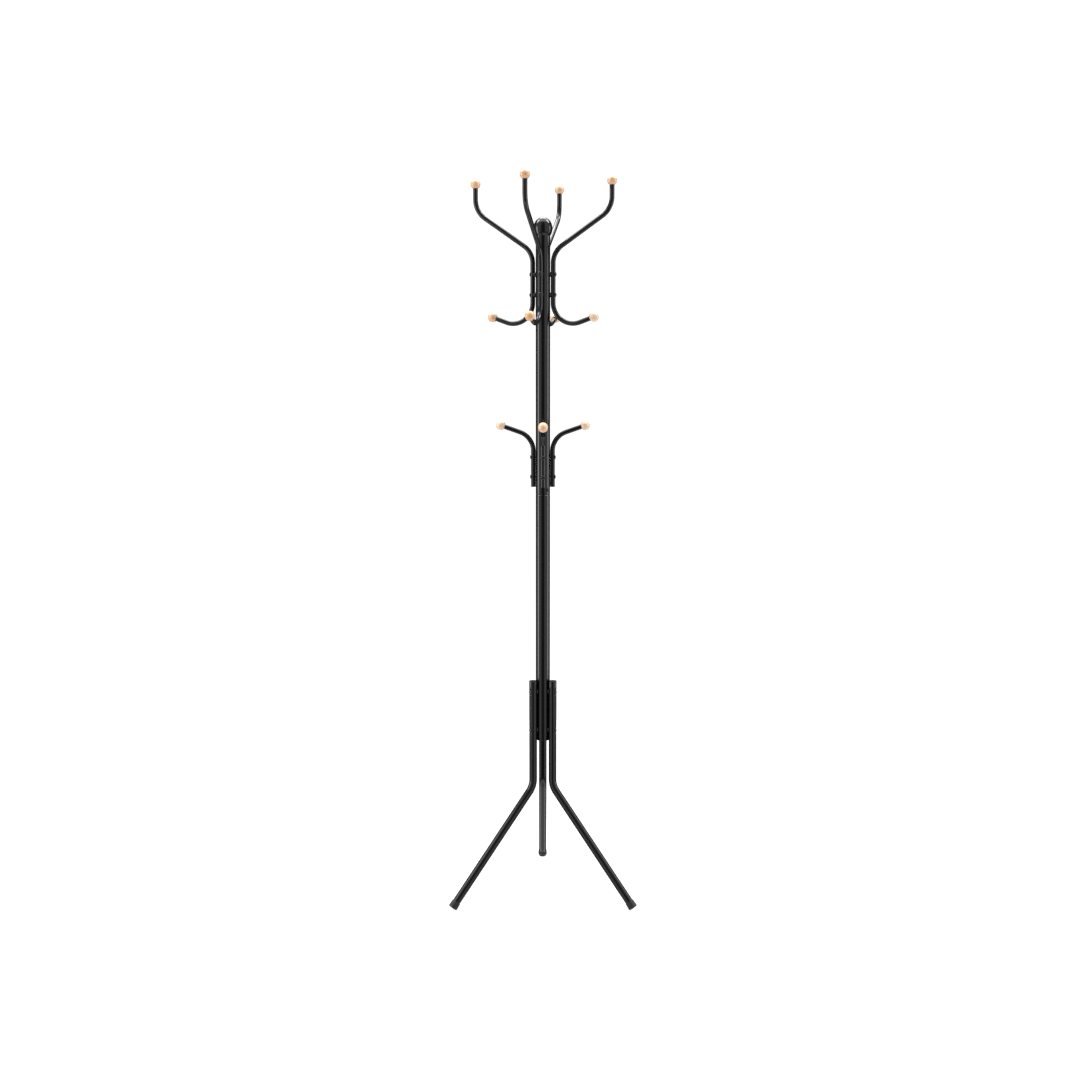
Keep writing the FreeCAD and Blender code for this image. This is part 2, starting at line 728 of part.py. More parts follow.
def make_foot_cap(label, turn):
    """Rubber cup on the leg's end, with a flat where its lower edge meets the floor."""
    body = add_body(label)
    bore = "leg_radius + spigot_gap"
    flat_end = "foot_radius - foot_round"
    end_curve = f"(({flat_end}) * ({flat_end}) + foot_dome * foot_dome) / (2 * foot_dome)"
    revolve(body, "cup", [
        ("0", "0", end_curve),
        (flat_end, "foot_dome", "foot_round"),
        ("foot_radius", "foot_dome + foot_round"),
        ("foot_mouth_radius", "foot_length - 0.5"),
        ("foot_mouth_radius - 0.5", "foot_length"),
        (bore, "foot_length"),
        (bore, "foot_floor"),
        ("0", "foot_floor"),
    ], "V_Axis", x=FOOT_END_REACH, y=FOOT_END_HEIGHT, turn="leg_splay")
    sketch = add_sketch(body, "floor_circle", "XY_Plane", x=FOOT_END_REACH)
    draw_circle(sketch, "2 * foot_radius")
    pocket(body, "floor_flat", sketch, "foot_radius", False)
    place(body, turn)


# ---------------------------------------------------------------- the rack

make_lower_pole()
make_upper_pole()
make_pole_top_cap()
make_pole_bottom_plug()
make_snap_button()
make_button_spring()

for leg_name, leg_turn in LEG_TURNS.items():
    make_leg(leg_name, str(leg_turn))
    make_leg_top_plug(leg_name + "_top_plug", str(leg_turn))
    make_foot_cap(leg_name + "_foot_cap", str(leg_turn))
make_inserts("leg_inserts", "leg_bolt_level", "leg_bolt_drop", 3, "90")
make_spacers("leg_spacers", "leg_radius", "leg_offset", "leg_bolt_level", "leg_bolt_drop", 3, "90")
make_bolts("leg_bolts", "leg_offset + leg_radius - dimple_depth", "leg_bolt_level",
           "leg_bolt_drop", 3, "90")

for quarter, side in enumerate(SIDES_OF_FOUR):
    upper_side = f"upper_turn + {90 * quarter}"
    make_upper_hook(f"upper_hook_{side}", upper_side)
    make_ball(f"peg_ball_{side}", "peg_reach", "peg_height", "0", upper_side)
    make_ball(f"crook_ball_{side}", "crook_reach", "crook_height", "crook_rise - 90", upper_side)
    lower_side = str(90 * quarter)
    make_lower_hook(f"lower_hook_{side}", lower_side)
    make_ball(f"lower_ball_{side}", "lower_reach", "lower_height", "lower_rise - 90", lower_side)
make_spacers("upper_hook_spacers", "rod_radius", "upper_offset", "upper_bolt_level",
             "upper_bolt_drop", 4, "upper_turn")
for group, group_turn in (("upper", "upper_turn"), ("lower", "0")):
    make_inserts(f"{group}_hook_inserts", f"{group}_bolt_level", f"{group}_bolt_drop", 4, group_turn)
    make_bolts(f"{group}_hook_bolts", f"{group}_offset + rod_radius - rod_flat",
               f"{group}_bolt_level", f"{group}_bolt_drop", 4, group_turn)
make_hook_end_plugs()

doc.recompute()

# ---------------------------------------------------------------- checks and files

for item in doc.Objects:
    if "Invalid" in item.State or "Error" in item.State:
        raise RuntimeError(f"{item.Label} failed: {item.State}")
for sub_part in SUB_PARTS:
    shape = sub_part.Shape
    if shape.isNull() or not shape.isValid() or shape.Volume <= 0:
        raise RuntimeError(f"{sub_part.Label} has no sound shape")

os.makedirs("parts", exist_ok=True)
for sub_part in SUB_PARTS:
    sub_part.Shape.exportStep(os.path.join("parts", sub_part.Label + ".step"))
    print(f"{sub_part.Label}: {len(sub_part.Shape.Solids)} solid(s), "
          f"{sub_part.Shape.Volume / 1000:.2f} cm3")

box = FreeCAD.BoundBox()
for sub_part in SUB_PARTS:
    box.add(sub_part.Shape.BoundBox)
print(f"{len(SUB_PARTS)} sub-parts, X {box.XMin:.2f} to {box.XMax:.2f}, "
      f"Y {box.YMin:.2f} to {box.YMax:.2f}, Z {box.ZMin:.2f} to {box.ZMax:.2f}")
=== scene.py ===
"""Standing coat rack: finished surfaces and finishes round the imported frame.

Everything is in metres, in the frame's own axes: +Z up, floor at Z = 0, front towards -Y.
Each piece is worked out as if it stood in the XZ plane at its distance from the pole's axis
(reach to the right, level upwards) and is then turned about that axis to its own side.
"""

from __future__ import annotations

import json
import logging
import math
from dataclasses import dataclass, field
from enum import Enum
from typing import Sequence

import bmesh
import bpy
import numpy as np
from mathutils import Matrix, Vector

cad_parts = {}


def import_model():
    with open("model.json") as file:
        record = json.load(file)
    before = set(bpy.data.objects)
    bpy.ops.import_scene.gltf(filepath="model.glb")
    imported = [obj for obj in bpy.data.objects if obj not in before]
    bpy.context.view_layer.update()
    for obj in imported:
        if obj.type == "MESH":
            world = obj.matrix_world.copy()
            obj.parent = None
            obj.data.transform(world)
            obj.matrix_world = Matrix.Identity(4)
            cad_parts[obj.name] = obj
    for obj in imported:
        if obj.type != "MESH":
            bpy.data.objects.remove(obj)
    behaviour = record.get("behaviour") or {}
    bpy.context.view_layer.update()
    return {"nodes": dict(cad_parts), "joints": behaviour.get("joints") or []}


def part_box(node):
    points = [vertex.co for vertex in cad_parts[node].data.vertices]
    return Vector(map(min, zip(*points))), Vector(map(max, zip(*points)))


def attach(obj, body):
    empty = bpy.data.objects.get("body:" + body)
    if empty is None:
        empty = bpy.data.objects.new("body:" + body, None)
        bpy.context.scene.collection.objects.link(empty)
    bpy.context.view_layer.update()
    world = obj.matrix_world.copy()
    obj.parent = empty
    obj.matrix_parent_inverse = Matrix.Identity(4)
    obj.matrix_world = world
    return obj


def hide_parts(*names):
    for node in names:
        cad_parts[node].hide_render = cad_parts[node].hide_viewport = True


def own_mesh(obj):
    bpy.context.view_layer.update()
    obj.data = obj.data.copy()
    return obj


log = logging.getLogger("coat_rack")

MERGE_DISTANCE = 1e-6
SHARP_ANGLE = math.radians(40)
UPRIGHT = 1 - 1e-9

Patch = tuple[np.ndarray, np.ndarray | None]
Corner = tuple[float, float, float]
Colour = tuple[float, float, float, float]


class Body(Enum):
    """The two bodies of the frame."""

    RACK = "rack"
    BUTTON = "button"


class Slot(Enum):
    """Finishes that a piece can have, by the record's names."""

    BLACK_PAINT = "black_paint"
    GLOSS_PLASTIC = "gloss_plastic"
    FOOT_RUBBER = "foot_rubber"
    BEECH = "beech"
    BLACK_BOLT = "black_bolt"
    SPACER_PLASTIC = "spacer_plastic"
    ZINC_STEEL = "zinc_steel"
    SPRING_STEEL = "spring_steel"


class Side(Enum):
    """Sides of the pole that carry hooks, in quarter turns from the right."""

    RIGHT = 0
    BACK = 1
    LEFT = 2
    FRONT = 3


# ---------------------------------------------------------------- curves and surfaces


def arc(centre: tuple[float, float], radii: tuple[float, float], start: float, end: float,
        count: int) -> np.ndarray:
    """Points of an ellipse's arc: centre + (rx cos a, ry sin a), with a from start to end.

    Args:
        centre: Middle of the ellipse.
        radii: Its half axes.
        start: First angle in degrees.
        end: Last angle in degrees.
        count: Number of points.

    Returns:
        An array of (count, 2).
    """
    angle = np.radians(np.linspace(start, end, count))
    return np.column_stack((centre[0] + radii[0] * np.cos(angle), centre[1] + radii[1] * np.sin(angle)))


def filleted(corners: Sequence[Corner], steps: int = 4) -> np.ndarray:
    """Open outline whose corners are rounded.

    A corner of radius f is cut back by f tan(turn / 2) along both sides, and the arc between
    the two cuts has its centre at f from each side.

    Args:
        corners: (x, y, fillet radius) of each corner; a radius of 0 keeps it sharp.
        steps: Pieces in each fillet.

    Returns:
        An array of (n, 2).
    """
    points = np.array([corner[:2] for corner in corners], float)
    parts = []
    for i, corner in enumerate(corners):
        fillet = corner[2]
        if fillet <= 0 or i in (0, len(corners) - 1):
            parts.append(points[i:i + 1])
            continue
        way_in = points[i] - points[i - 1]
        way_out = points[i + 1] - points[i]
        way_in, way_out = way_in / np.hypot(*way_in), way_out / np.hypot(*way_out)
        cross = way_in[0] * way_out[1] - way_in[1] * way_out[0]
        turn = math.atan2(cross, float(way_in @ way_out))
        cut = fillet * math.tan(abs(turn) / 2)
        to_centre = math.copysign(fillet, turn) * np.array([-way_in[1], way_in[0]])
        centre = points[i] - way_in * cut + to_centre
        first = math.atan2(-to_centre[1], -to_centre[0])
        parts.append(arc(tuple(centre), (fillet, fillet), math.degrees(first),
                         math.degrees(first + turn), steps + 1))
    return np.vstack(parts)


def turned(profile: np.ndarray, columns: int) -> np.ndarray:
    """Turned surface: the profile (r, h) spun once, x = r cos a, y = r sin a, z = h.

    Args:
        profile: Outline as (n, 2), radius and height.
        columns: Steps in the full turn.

    Returns:
        A grid of (n, columns + 1, 3) whose first and last columns coincide.
    """
    angle = np.linspace(0, 2 * np.pi, columns + 1)
    radius, height = profile[:, :1], profile[:, 1:]
    return np.stack(np.broadcast_arrays(radius * np.cos(angle), radius * np.sin(angle), height), axis=-1)


def stood(grid: np.ndarray, reach: float, level: float, lean: float = 0.0) -> np.ndarray:
    """Move a turned grid to (reach, level), its axis leaning outwards by lean degrees.

    x = reach + X cos lean + Z sin lean, z = level - X sin lean + Z cos lean.

    Args:
        grid: Points about their own upright axis.
        reach: Distance of their origin from the pole's axis.
        level: Height of their origin.
        lean: Lean of their axis from upright, in degrees.

    Returns:
        The moved points.
    """
    cosine, sine = math.cos(math.radians(lean)), math.sin(math.radians(lean))
    x, y, z = grid[..., 0], grid[..., 1], grid[..., 2]
    return np.stack((reach + x * cosine + z * sine, y, level - x * sine + z * cosine), axis=-1)


def smooth_step(low: float, high: float, value: np.ndarray) -> np.ndarray:
    """0 below low, 1 above high, and t t (3 - 2 t) between."""
    t = np.clip((value - low) / (high - low), 0, 1)
    return t * t * (3 - 2 * t)


def smooth_min(first: np.ndarray, second: np.ndarray, width: float) -> np.ndarray:
    """Lesser of two values with a rounded change: (a + b - sqrt((a - b)^2 + width^2)) / 2."""
    return (first + second - np.sqrt((first - second) ** 2 + width ** 2)) / 2


@dataclass(frozen=True)
class BentLine:
    """Centre line in the (reach, level) plane: straight runs joined by tangent arcs."""

    corners: tuple[tuple[float, float], ...]
    radii: tuple[float, ...] = ()

    def stretches(self) -> np.ndarray:
        """Runs and arcs in order.

        Returns:
            Rows of (distance at the start, reach, level, heading, curvature).  The last row is
            the line's end.
        """
        points = np.array(self.corners, float)
        sides = np.diff(points, axis=0)
        lengths = np.hypot(sides[:, 0], sides[:, 1])
        headings = np.unwrap(np.arctan2(sides[:, 1], sides[:, 0]))
        turns = np.append(np.diff(headings), 0.0)
        radii = np.append(np.array(self.radii, float), 0.0)
        cuts = radii * np.tan(np.abs(turns) / 2)
        rows = []
        distance, start_cut = 0.0, 0.0
        for point, side, length, heading, turn, radius, cut in zip(
                points, sides, lengths, headings, turns, radii, cuts):
            way = side / length
            start = point + way * start_cut
            rows.append((distance, *start, heading, 0.0))
            distance += length - start_cut - cut
            if radius > 0:
                corner = point + way * (length - cut)
                rows.append((distance, *corner, heading, math.copysign(1 / radius, turn)))
                distance += radius * abs(turn)
            start_cut = cut
        rows.append((distance, *points[-1], headings[-1], 0.0))
        return np.array(rows)

    @property
    def length(self) -> float:
        """Distance from end to end along the line."""
        return float(self.stretches()[-1, 0])

    def at(self, distance: np.ndarray) -> tuple[np.ndarray, np.ndarray, np.ndarray]:
        """Place and heading at distances along the line.

        On a run the point moves along its heading.  On an arc of curvature k the heading grows
        by k per metre, so the point moves by (sin h - sin h0) / k and (cos h0 - cos h) / k.

        Args:
            distance: Any array of distances.

        Returns:
            Reach, level and heading in radians, each of the same shape.
        """
        rows = self.stretches()
        place = np.clip(np.searchsorted(rows[:, 0], distance, side="right") - 1, 0, len(rows) - 2)
        start, reach, level, heading, bend = (rows[place, i] for i in range(5))
        gone = distance - start
        now = heading + bend * gone
        safe = np.where(bend == 0, 1.0, bend)
        reach = reach + np.where(bend == 0, gone * np.cos(heading), (np.sin(now) - np.sin(heading)) / safe)
        level = level + np.where(bend == 0, gone * np.sin(heading), (np.cos(heading) - np.cos(now)) / safe)
        return reach, level, now

    def distance_to_level(self, level: float) -> float:
        """Distance at which the line's upright run passes a level.

        Args:
            level: The height.

        Returns:
            The distance along the line.
        """
        rows = self.stretches()
        upright = next(row for row in rows if math.sin(row[3]) > UPRIGHT and row[4] == 0)
        return float(upright[0] + level - upright[2])

    def rows(self, step: float, longest: float) -> np.ndarray:
        """Distances that carry a row of points.

        Args:
            step: Most degrees of an arc between two rows.
            longest: Most metres between two rows.

        Returns:
            The distances, with those where two stretches meet given twice.
        """
        rows = self.stretches()
        parts = []
        for here, there in zip(rows, rows[1:]):
            gap = there[0] - here[0]
            turn = math.degrees(abs(here[4]) * gap)
            count = max(math.ceil(turn / step), math.ceil(gap / longest), 1)
            parts.append(np.linspace(here[0], there[0], count + 1))
        return np.concatenate(parts)


def carried(line: BentLine, distance: np.ndarray, out: np.ndarray, across: np.ndarray) -> np.ndarray:
    """Points beside a line: centre + out * normal + across * Y.

    With the heading h the normal is (sin h, -cos h), so that on an upright run it points away
    from the pole.

    Args:
        line: The centre line.
        distance: Distances along it.
        out: Offsets along the normal.
        across: Offsets along Y.

    Returns:
        A grid of points with the arrays' common shape.
    """
    distance, out, across = np.broadcast_arrays(distance, out, across)
    reach, level, heading = line.at(distance)
    return np.stack((reach + out * np.sin(heading), across, level - out * np.cos(heading)), axis=-1)


# ---------------------------------------------------------------- tubes


@dataclass(frozen=True)
class Hole:
    """Round hole through a tube's wall: distance along it, side in degrees, and radius."""

    distance: float
    side: float
    radius: float


@dataclass(frozen=True)
class Press:
    """Flat pressed into a tube's outer side: distance along it, height of its seat, radius."""

    distance: float
    seat: float
    radius: float


@dataclass(frozen=True)
class Tube:
    """Hollow bent tube with softened ends, drilled holes and pressed seats.

    A point of the wall is given by its distance s along the centre line, its angle a round the
    tube and its depth d under the outer face: out = (R(s) - d) cos a, across = (R(s) - d) sin a.
    The neck is a list of (distance, radius) and the twist one of (distance, degrees by which
    the columns are turned); soft is how gently a press's rim is rounded.
    """

    line: BentLine
    radius: float
    wall: float
    columns: int = 96
    hole_columns: int = 12
    holes: tuple[Hole, ...] = ()
    presses: tuple[Press, ...] = ()
    neck: tuple[tuple[float, float], ...] = ()
    twist: tuple[tuple[float, float], ...] = ()
    edge: float = 0.0003
    longest: float = 0.045
    bend_step: float = 2.5
    soft: float = 0.0004
    headroom: float = 0.003

    @property
    def step(self) -> float:
        """Angle between two columns."""
        return 2 * math.pi / self.columns

    @property
    def pitch(self) -> float:
        """Distance between two columns round the tube, and between the rows at a hole."""
        return self.radius * self.step

    def outer(self, distance: np.ndarray) -> np.ndarray:
        """Radius of the outer face, with the neck's steps but without the softened ends.

        Args:
            distance: Distances along the tube.

        Returns:
            The radius at each.
        """
        if not self.neck:
            return np.full_like(distance, self.radius)
        stations = np.array(self.neck)
        return np.interp(distance, stations[:, 0], stations[:, 1])

    def end_inset(self, distance: np.ndarray) -> np.ndarray:
        """How far the quarter-round at an end draws the face in: e - sqrt(e^2 - (e - d)^2)."""
        away = np.clip(np.minimum(distance, self.line.length - distance), 0, self.edge)
        return self.edge - np.sqrt(self.edge ** 2 - (self.edge - away) ** 2)

    def turn_at(self, distance: np.ndarray) -> np.ndarray:
        """Angle in radians by which the columns are turned.

        Args:
            distance: Distances along the tube.

        Returns:
            The angle at each.
        """
        if not self.twist:
            return np.zeros_like(distance)
        stations = np.array(self.twist)
        return np.radians(np.interp(distance, stations[:, 0], stations[:, 1]))

    def wall_points(self, distance: np.ndarray, angle: np.ndarray, depth: np.ndarray) -> np.ndarray:
        """Points of the wall, each press flattening the outer side down to its seat.

        A seat is a limit on how far out a point may lie: the seat's height inside its radius,
        and out of the way beyond it.

        Args:
            distance: Distances along the tube.
            angle: Angles round it.
            depth: Depths under its outer face.

        Returns:
            A grid of points with the arrays' common shape.
        """
        distance, angle, depth = np.broadcast_arrays(distance, angle, depth)
        radius = self.outer(distance) - depth
        out, across = radius * np.cos(angle), radius * np.sin(angle)
        for press in self.presses:
            away = np.hypot(across, distance - press.distance)
            rise = (self.radius - press.seat + self.headroom) * smooth_step(
                press.radius - self.soft, press.radius + 3 * self.soft, away)
            out = smooth_min(out, press.seat - depth + rise, self.soft / 2)
        return carried(self.line, distance, out, across)

    def row_distances(self) -> np.ndarray:
        """All distances that carry a row of points, in order.

        Besides the line's own rows there are some down each rounded end, close ones about each
        press's rim, and at each level with holes a block of rows that are a pitch apart.

        Returns:
            The distances.
        """
        length, pitch, half = self.line.length, self.pitch, self.hole_columns // 2
        rounding = self.edge * (1 - np.cos(np.radians(np.arange(0, 91, 22.5))))
        parts = [self.line.rows(self.bend_step, self.longest), rounding, length - rounding]
        levels = sorted({hole.distance for hole in self.holes})
        parts += [level + pitch * np.arange(-half, half + 1) for level in levels]
        for press in self.presses:
            close = press.radius + self.soft * np.arange(-3, 6)
            parts += [press.distance - close, press.distance + close]
        parts += [np.array(stop[:1]) for stop in self.neck]
        rows = np.unique(np.round(np.clip(np.concatenate(parts), 0, length), 9))
        for level in levels:
            block = level + pitch * np.arange(-half, half + 1)
            inside = (rows > block[0] - 0.3 * pitch) & (rows < block[-1] + 0.3 * pitch)
            rows = np.sort(np.concatenate((rows[~inside], block)))
        return rows

    def hole_patch(self, hole: Hole) -> np.ndarray:
        """Wall round one hole.

        It runs from a square block of the outer face, down the hole's edge and through it, out
        to the same block of the inner face.  A ring is a blend of the block's border and the
        circle across = r cos p, s = r sin p, whose angle round a face of radius R is
        asin(across / R).

        Args:
            hole: The hole.

        Returns:
            A grid whose first and last rings lie on the borders of the two blocks.
        """
        half = self.hole_columns // 2
        run = np.arange(-half, half)
        low, high = np.full(2 * half, -half), np.full(2 * half, half)
        column = np.concatenate((run, high, -run, low, run[:1]))
        row = np.concatenate((low, run, high, -run, low[:1]))
        border_s = hole.distance + self.pitch * row
        shift = self.turn_at(border_s) - self.turn_at(np.array(hole.distance))
        border_a = math.radians(hole.side) + self.step * column + shift
        direction = np.arctan2(row, column)

        def ring(radius: float, depth: float, blend: float) -> tuple[np.ndarray, ...]:
            """Distance, angle and depth of one ring.

            Args:
                radius: The circle's radius.
                depth: Its depth under the outer face.
                blend: 0 on the block's border, 1 on the circle.

            Returns:
                The three as arrays of one length.
            """
            face = float(self.outer(np.array(hole.distance))) - depth
            circle_s = hole.distance + radius * np.sin(direction)
            circle_a = math.radians(hole.side) + np.arcsin(radius * np.cos(direction) / face)
            return (border_s + blend * (circle_s - border_s),
                    border_a + blend * (circle_a - border_a), np.full_like(border_s, depth))

        edge = self.edge * 0.6
        rings = [ring(hole.radius + edge, 0.0, blend) for blend in (0, 0.4, 0.75, 1)]
        rings += [ring(hole.radius + edge * (1 - math.sin(t)), edge * (1 - math.cos(t)), 1)
                  for t in (0.52, 1.05, 1.57)]
        rings += [ring(hole.radius, self.wall, blend) for blend in (1, 0.6, 0)]
        distance, angle, depth = (np.array(part) for part in zip(*rings))
        return self.wall_points(distance, angle, depth)

    def patches(self) -> list[Patch]:
        """The tube's surface.

        Returns:
            The outer and inner face with the blocks at their holes left out, the wall round
            each hole and the two end rings.
        """
        rows = self.row_distances()
        half = self.hole_columns // 2
        angle = self.step * np.arange(self.columns + 1) + self.turn_at(rows)[:, None]
        keep = np.ones((len(rows) - 1, self.columns), bool)
        for hole in self.holes:
            first_row = int(np.argmin(np.abs(rows - (hole.distance - half * self.pitch))))
            turn = math.radians(hole.side) - float(self.turn_at(np.array(hole.distance)))
            first_column = round(turn / self.step) - half
            columns = np.arange(first_column, first_column + 2 * half) % self.columns
            keep[first_row:first_row + 2 * half, columns] = False
        inset = self.end_inset(rows)[:, None]
        faces = [(self.wall_points(rows[:, None], angle, depth), keep)
                 for depth in (inset, self.wall - inset)]
        bores = [(self.hole_patch(hole), None) for hole in self.holes]
        ends = [(np.stack((faces[0][0][row], faces[1][0][row])), None) for row in (0, -1)]
        return faces + bores + ends


# ---------------------------------------------------------------- shader graphs


class Value:
    """One number of a shader graph, with Python's arithmetic on it."""

    def __init__(self, graph: Graph, socket: bpy.types.NodeSocket) -> None:
        """Wrap a socket of a graph."""
        self.graph = graph
        self.socket = socket

    def maths(self, operation: str, *others: float | Value, turned_round: bool = False) -> Value:
        """Add a Math node.

        Args:
            operation: The node's operation.
            others: What goes in beside this value.
            turned_round: True if this value is the last and not the first.

        Returns:
            The node's result.
        """
        inputs = [*others, self] if turned_round else [self, *others]
        node = self.graph.node("ShaderNodeMath", {"operation": operation}, dict(enumerate(inputs)))
        return Value(self.graph, node.outputs[0])

    def __add__(self, other: float | Value) -> Value:
        """This plus other."""
        return self.maths("ADD", other)

    __radd__ = __add__

    def __sub__(self, other: float | Value) -> Value:
        """This less other."""
        return self.maths("SUBTRACT", other)

    def __rsub__(self, other: float | Value) -> Value:
        """Other less this."""
        return self.maths("SUBTRACT", other, turned_round=True)

    def __mul__(self, other: float | Value) -> Value:
        """This times other."""
        return self.maths("MULTIPLY", other)

    __rmul__ = __mul__

    def __truediv__(self, other: float | Value) -> Value:
        """This over other."""
        return self.maths("DIVIDE", other)

    def step(self, low: float, high: float) -> Value:
        """Smooth step.

        Args:
            low: Where it is still 0.
            high: Where it has reached 1.

        Returns:
            The step's value.
        """
        node = self.graph.node("ShaderNodeMapRange", {"interpolation_type": "SMOOTHSTEP"},
                               {"Value": self, "From Min": low, "From Max": high})
        return Value(self.graph, node.outputs["Result"])


class Graph:
    """Node graph of one material or world."""

    def __init__(self, owner: bpy.types.Material | bpy.types.World) -> None:
        """Start an empty graph.

        Args:
            owner: The material or world that it belongs to.
        """
        self.owner = owner
        owner.use_nodes = True
        self.tree = owner.node_tree
        self.tree.nodes.clear()

    @classmethod
    def named(cls, name: str) -> Graph:
        """Graph of a new material."""
        return cls(bpy.data.materials.new(name))

    def node(self, kind: str, settings: dict[str, object],
             inputs: dict[str | int, object]) -> bpy.types.Node:
        """Add one node.

        Args:
            kind: The node's type.
            settings: Its properties, set before the sockets.
            inputs: Values, sockets or constants by socket name or number.

        Returns:
            The node.
        """
        node = self.tree.nodes.new(kind)
        for name, setting in settings.items():
            setattr(node, name, setting)
        for key, given in inputs.items():
            source = given.socket if isinstance(given, Value) else given
            if isinstance(source, bpy.types.NodeSocket):
                self.tree.links.new(source, node.inputs[key])
            else:
                node.inputs[key].default_value = source
        return node

    def place(self, attribute: str | None = None) -> bpy.types.NodeSocket:
        """Coordinates in metres.

        Args:
            attribute: A vector attribute of the mesh, or None for the object's own coordinates.

        Returns:
            The coordinates' socket.
        """
        if attribute:
            return self.node("ShaderNodeAttribute", {"attribute_name": attribute}, {}).outputs["Vector"]
        return self.node("ShaderNodeTexCoord", {}, {}).outputs["Object"]

    def amount(self, attribute: str) -> Value:
        """A number that the mesh carries."""
        node = self.node("ShaderNodeAttribute", {"attribute_name": attribute}, {})
        return Value(self, node.outputs["Fac"])

    def stretch(self, place: bpy.types.NodeSocket,
                scale: tuple[float, float, float]) -> bpy.types.NodeSocket:
        """Coordinates multiplied axis by axis."""
        node = self.node("ShaderNodeVectorMath", {"operation": "MULTIPLY"}, {0: place, 1: scale})
        return node.outputs["Vector"]

    def noise(self, place: bpy.types.NodeSocket, scale: float, detail: float = 2.0,
              roughness: float = 0.5) -> Value:
        """Smooth noise.

        Args:
            place: Coordinates.
            scale: Cells to the metre.
            detail: Number of finer layers.
            roughness: Strength of each layer beside the one before it.

        Returns:
            A value of about 0 to 1.
        """
        node = self.node("ShaderNodeTexNoise", {}, {
            "Vector": place, "Scale": scale, "Detail": detail, "Roughness": roughness})
        return Value(self, node.outputs[0])

    def mix(self, factor: Value, low: object, high: object) -> bpy.types.NodeSocket:
        """Colour between low, where factor is 0, and high, where it is 1."""
        node = self.node("ShaderNodeMix", {"data_type": "RGBA"}, {0: factor, 6: low, 7: high})
        return node.outputs[2]

    def bump(self, height: Value, distance: float) -> bpy.types.NodeSocket:
        """Normal of a relief that is distance metres deep."""
        node = self.node("ShaderNodeBump", {}, {"Height": height, "Distance": distance, "Strength": 1.0})
        return node.outputs["Normal"]

    def surface(self, inputs: dict[str | int, object]) -> bpy.types.Material:
        """Close the graph with one Principled surface.

        Args:
            inputs: The surface's sockets.

        Returns:
            The finished material.
        """
        shader = self.node("ShaderNodeBsdfPrincipled", {}, inputs)
        self.node("ShaderNodeOutputMaterial", {}, {"Surface": shader.outputs[0]})
        return self.owner


@dataclass(frozen=True)
class StovedPaint:
    """Glossy black powder coat: fine orange peel, and a thin haze from handling.

    Scales are cells to the metre.  The rubbed streaks are drawn out along the tubes, and the
    peel has a second, finer layer.
    """

    low: Colour = (0.0022, 0.0022, 0.0024, 1)
    high: Colour = (0.0040, 0.0040, 0.0042, 1)
    gloss: float = 0.07
    haze: float = 0.05
    wear: float = 0.05
    peel: float = 0.0000025
    cloud_scale: float = 38
    rub_scale: float = 420
    peel_scales: tuple[float, float] = (520, 1700)

    def make(self) -> bpy.types.Material:
        """Build the material.

        Returns:
            The finished material.
        """
        graph = Graph.named(Slot.BLACK_PAINT.value + "_finish")
        place = graph.place()
        cloud = graph.noise(place, self.cloud_scale, 3)
        rubbed = graph.noise(graph.stretch(place, (1, 1, 0.12)), self.rub_scale, 3).step(0.52, 0.78)
        coarse, fine = self.peel_scales
        peel = graph.noise(place, coarse, 1.5) + 0.35 * graph.noise(place, fine, 1)
        return graph.surface({
            "Base Color": graph.mix(cloud, self.low, self.high),
            "Roughness": self.gloss + self.haze * cloud.step(0.35, 0.75) + self.wear * rubbed,
            "IOR": 1.5,
            "Normal": graph.bump(peel, self.peel),
        })


@dataclass(frozen=True)
class MouldedPlastic:
    """Black moulded plastic, glossy or satin, with faint flow marks and a fine texture.

    The grain is in cells to the metre and the texture's depth in metres.
    """

    slot: Slot
    colour: Colour
    gloss: float
    grain: float
    texture: float
    paler: float = 1.6

    def make(self) -> bpy.types.Material:
        """Build the material.

        Returns:
            The finished material.
        """
        graph = Graph.named(self.slot.value + "_finish")
        place = graph.place()
        flow = graph.noise(graph.stretch(place, (1, 1, 0.4)), 60, 3)
        speckle = graph.noise(place, self.grain, 2)
        lighter = tuple(channel * self.paler for channel in self.colour[:3]) + (1.0,)
        return graph.surface({
            "Base Color": graph.mix(flow, self.colour, lighter),
            "Roughness": self.gloss + 0.08 * flow + 0.06 * speckle,
            "IOR": 1.49,
            "Normal": graph.bump(speckle, self.texture),
        })


@dataclass(frozen=True)
class Rubber:
    """Matt black rubber with dust in its pores."""

    colour: Colour = (0.0045, 0.0045, 0.0048, 1)
    dust: Colour = (0.020, 0.019, 0.018, 1)
    dusty: float = 0.45
    pore_depth: float = 0.00004

    def make(self) -> bpy.types.Material:
        """Build the material.

        Returns:
            The finished material.
        """
        graph = Graph.named(Slot.FOOT_RUBBER.value + "_finish")
        place = graph.place()
        pores = graph.noise(place, 1500, 3, 0.6)
        smear = graph.noise(place, 140, 3).step(0.5, 0.8)
        return graph.surface({
            "Base Color": graph.mix(smear * self.dusty, self.colour, self.dust),
            "Roughness": 0.46 + 0.16 * smear + 0.1 * pores,
            "IOR": 1.52,
            "Normal": graph.bump(pores, self.pore_depth),
        })


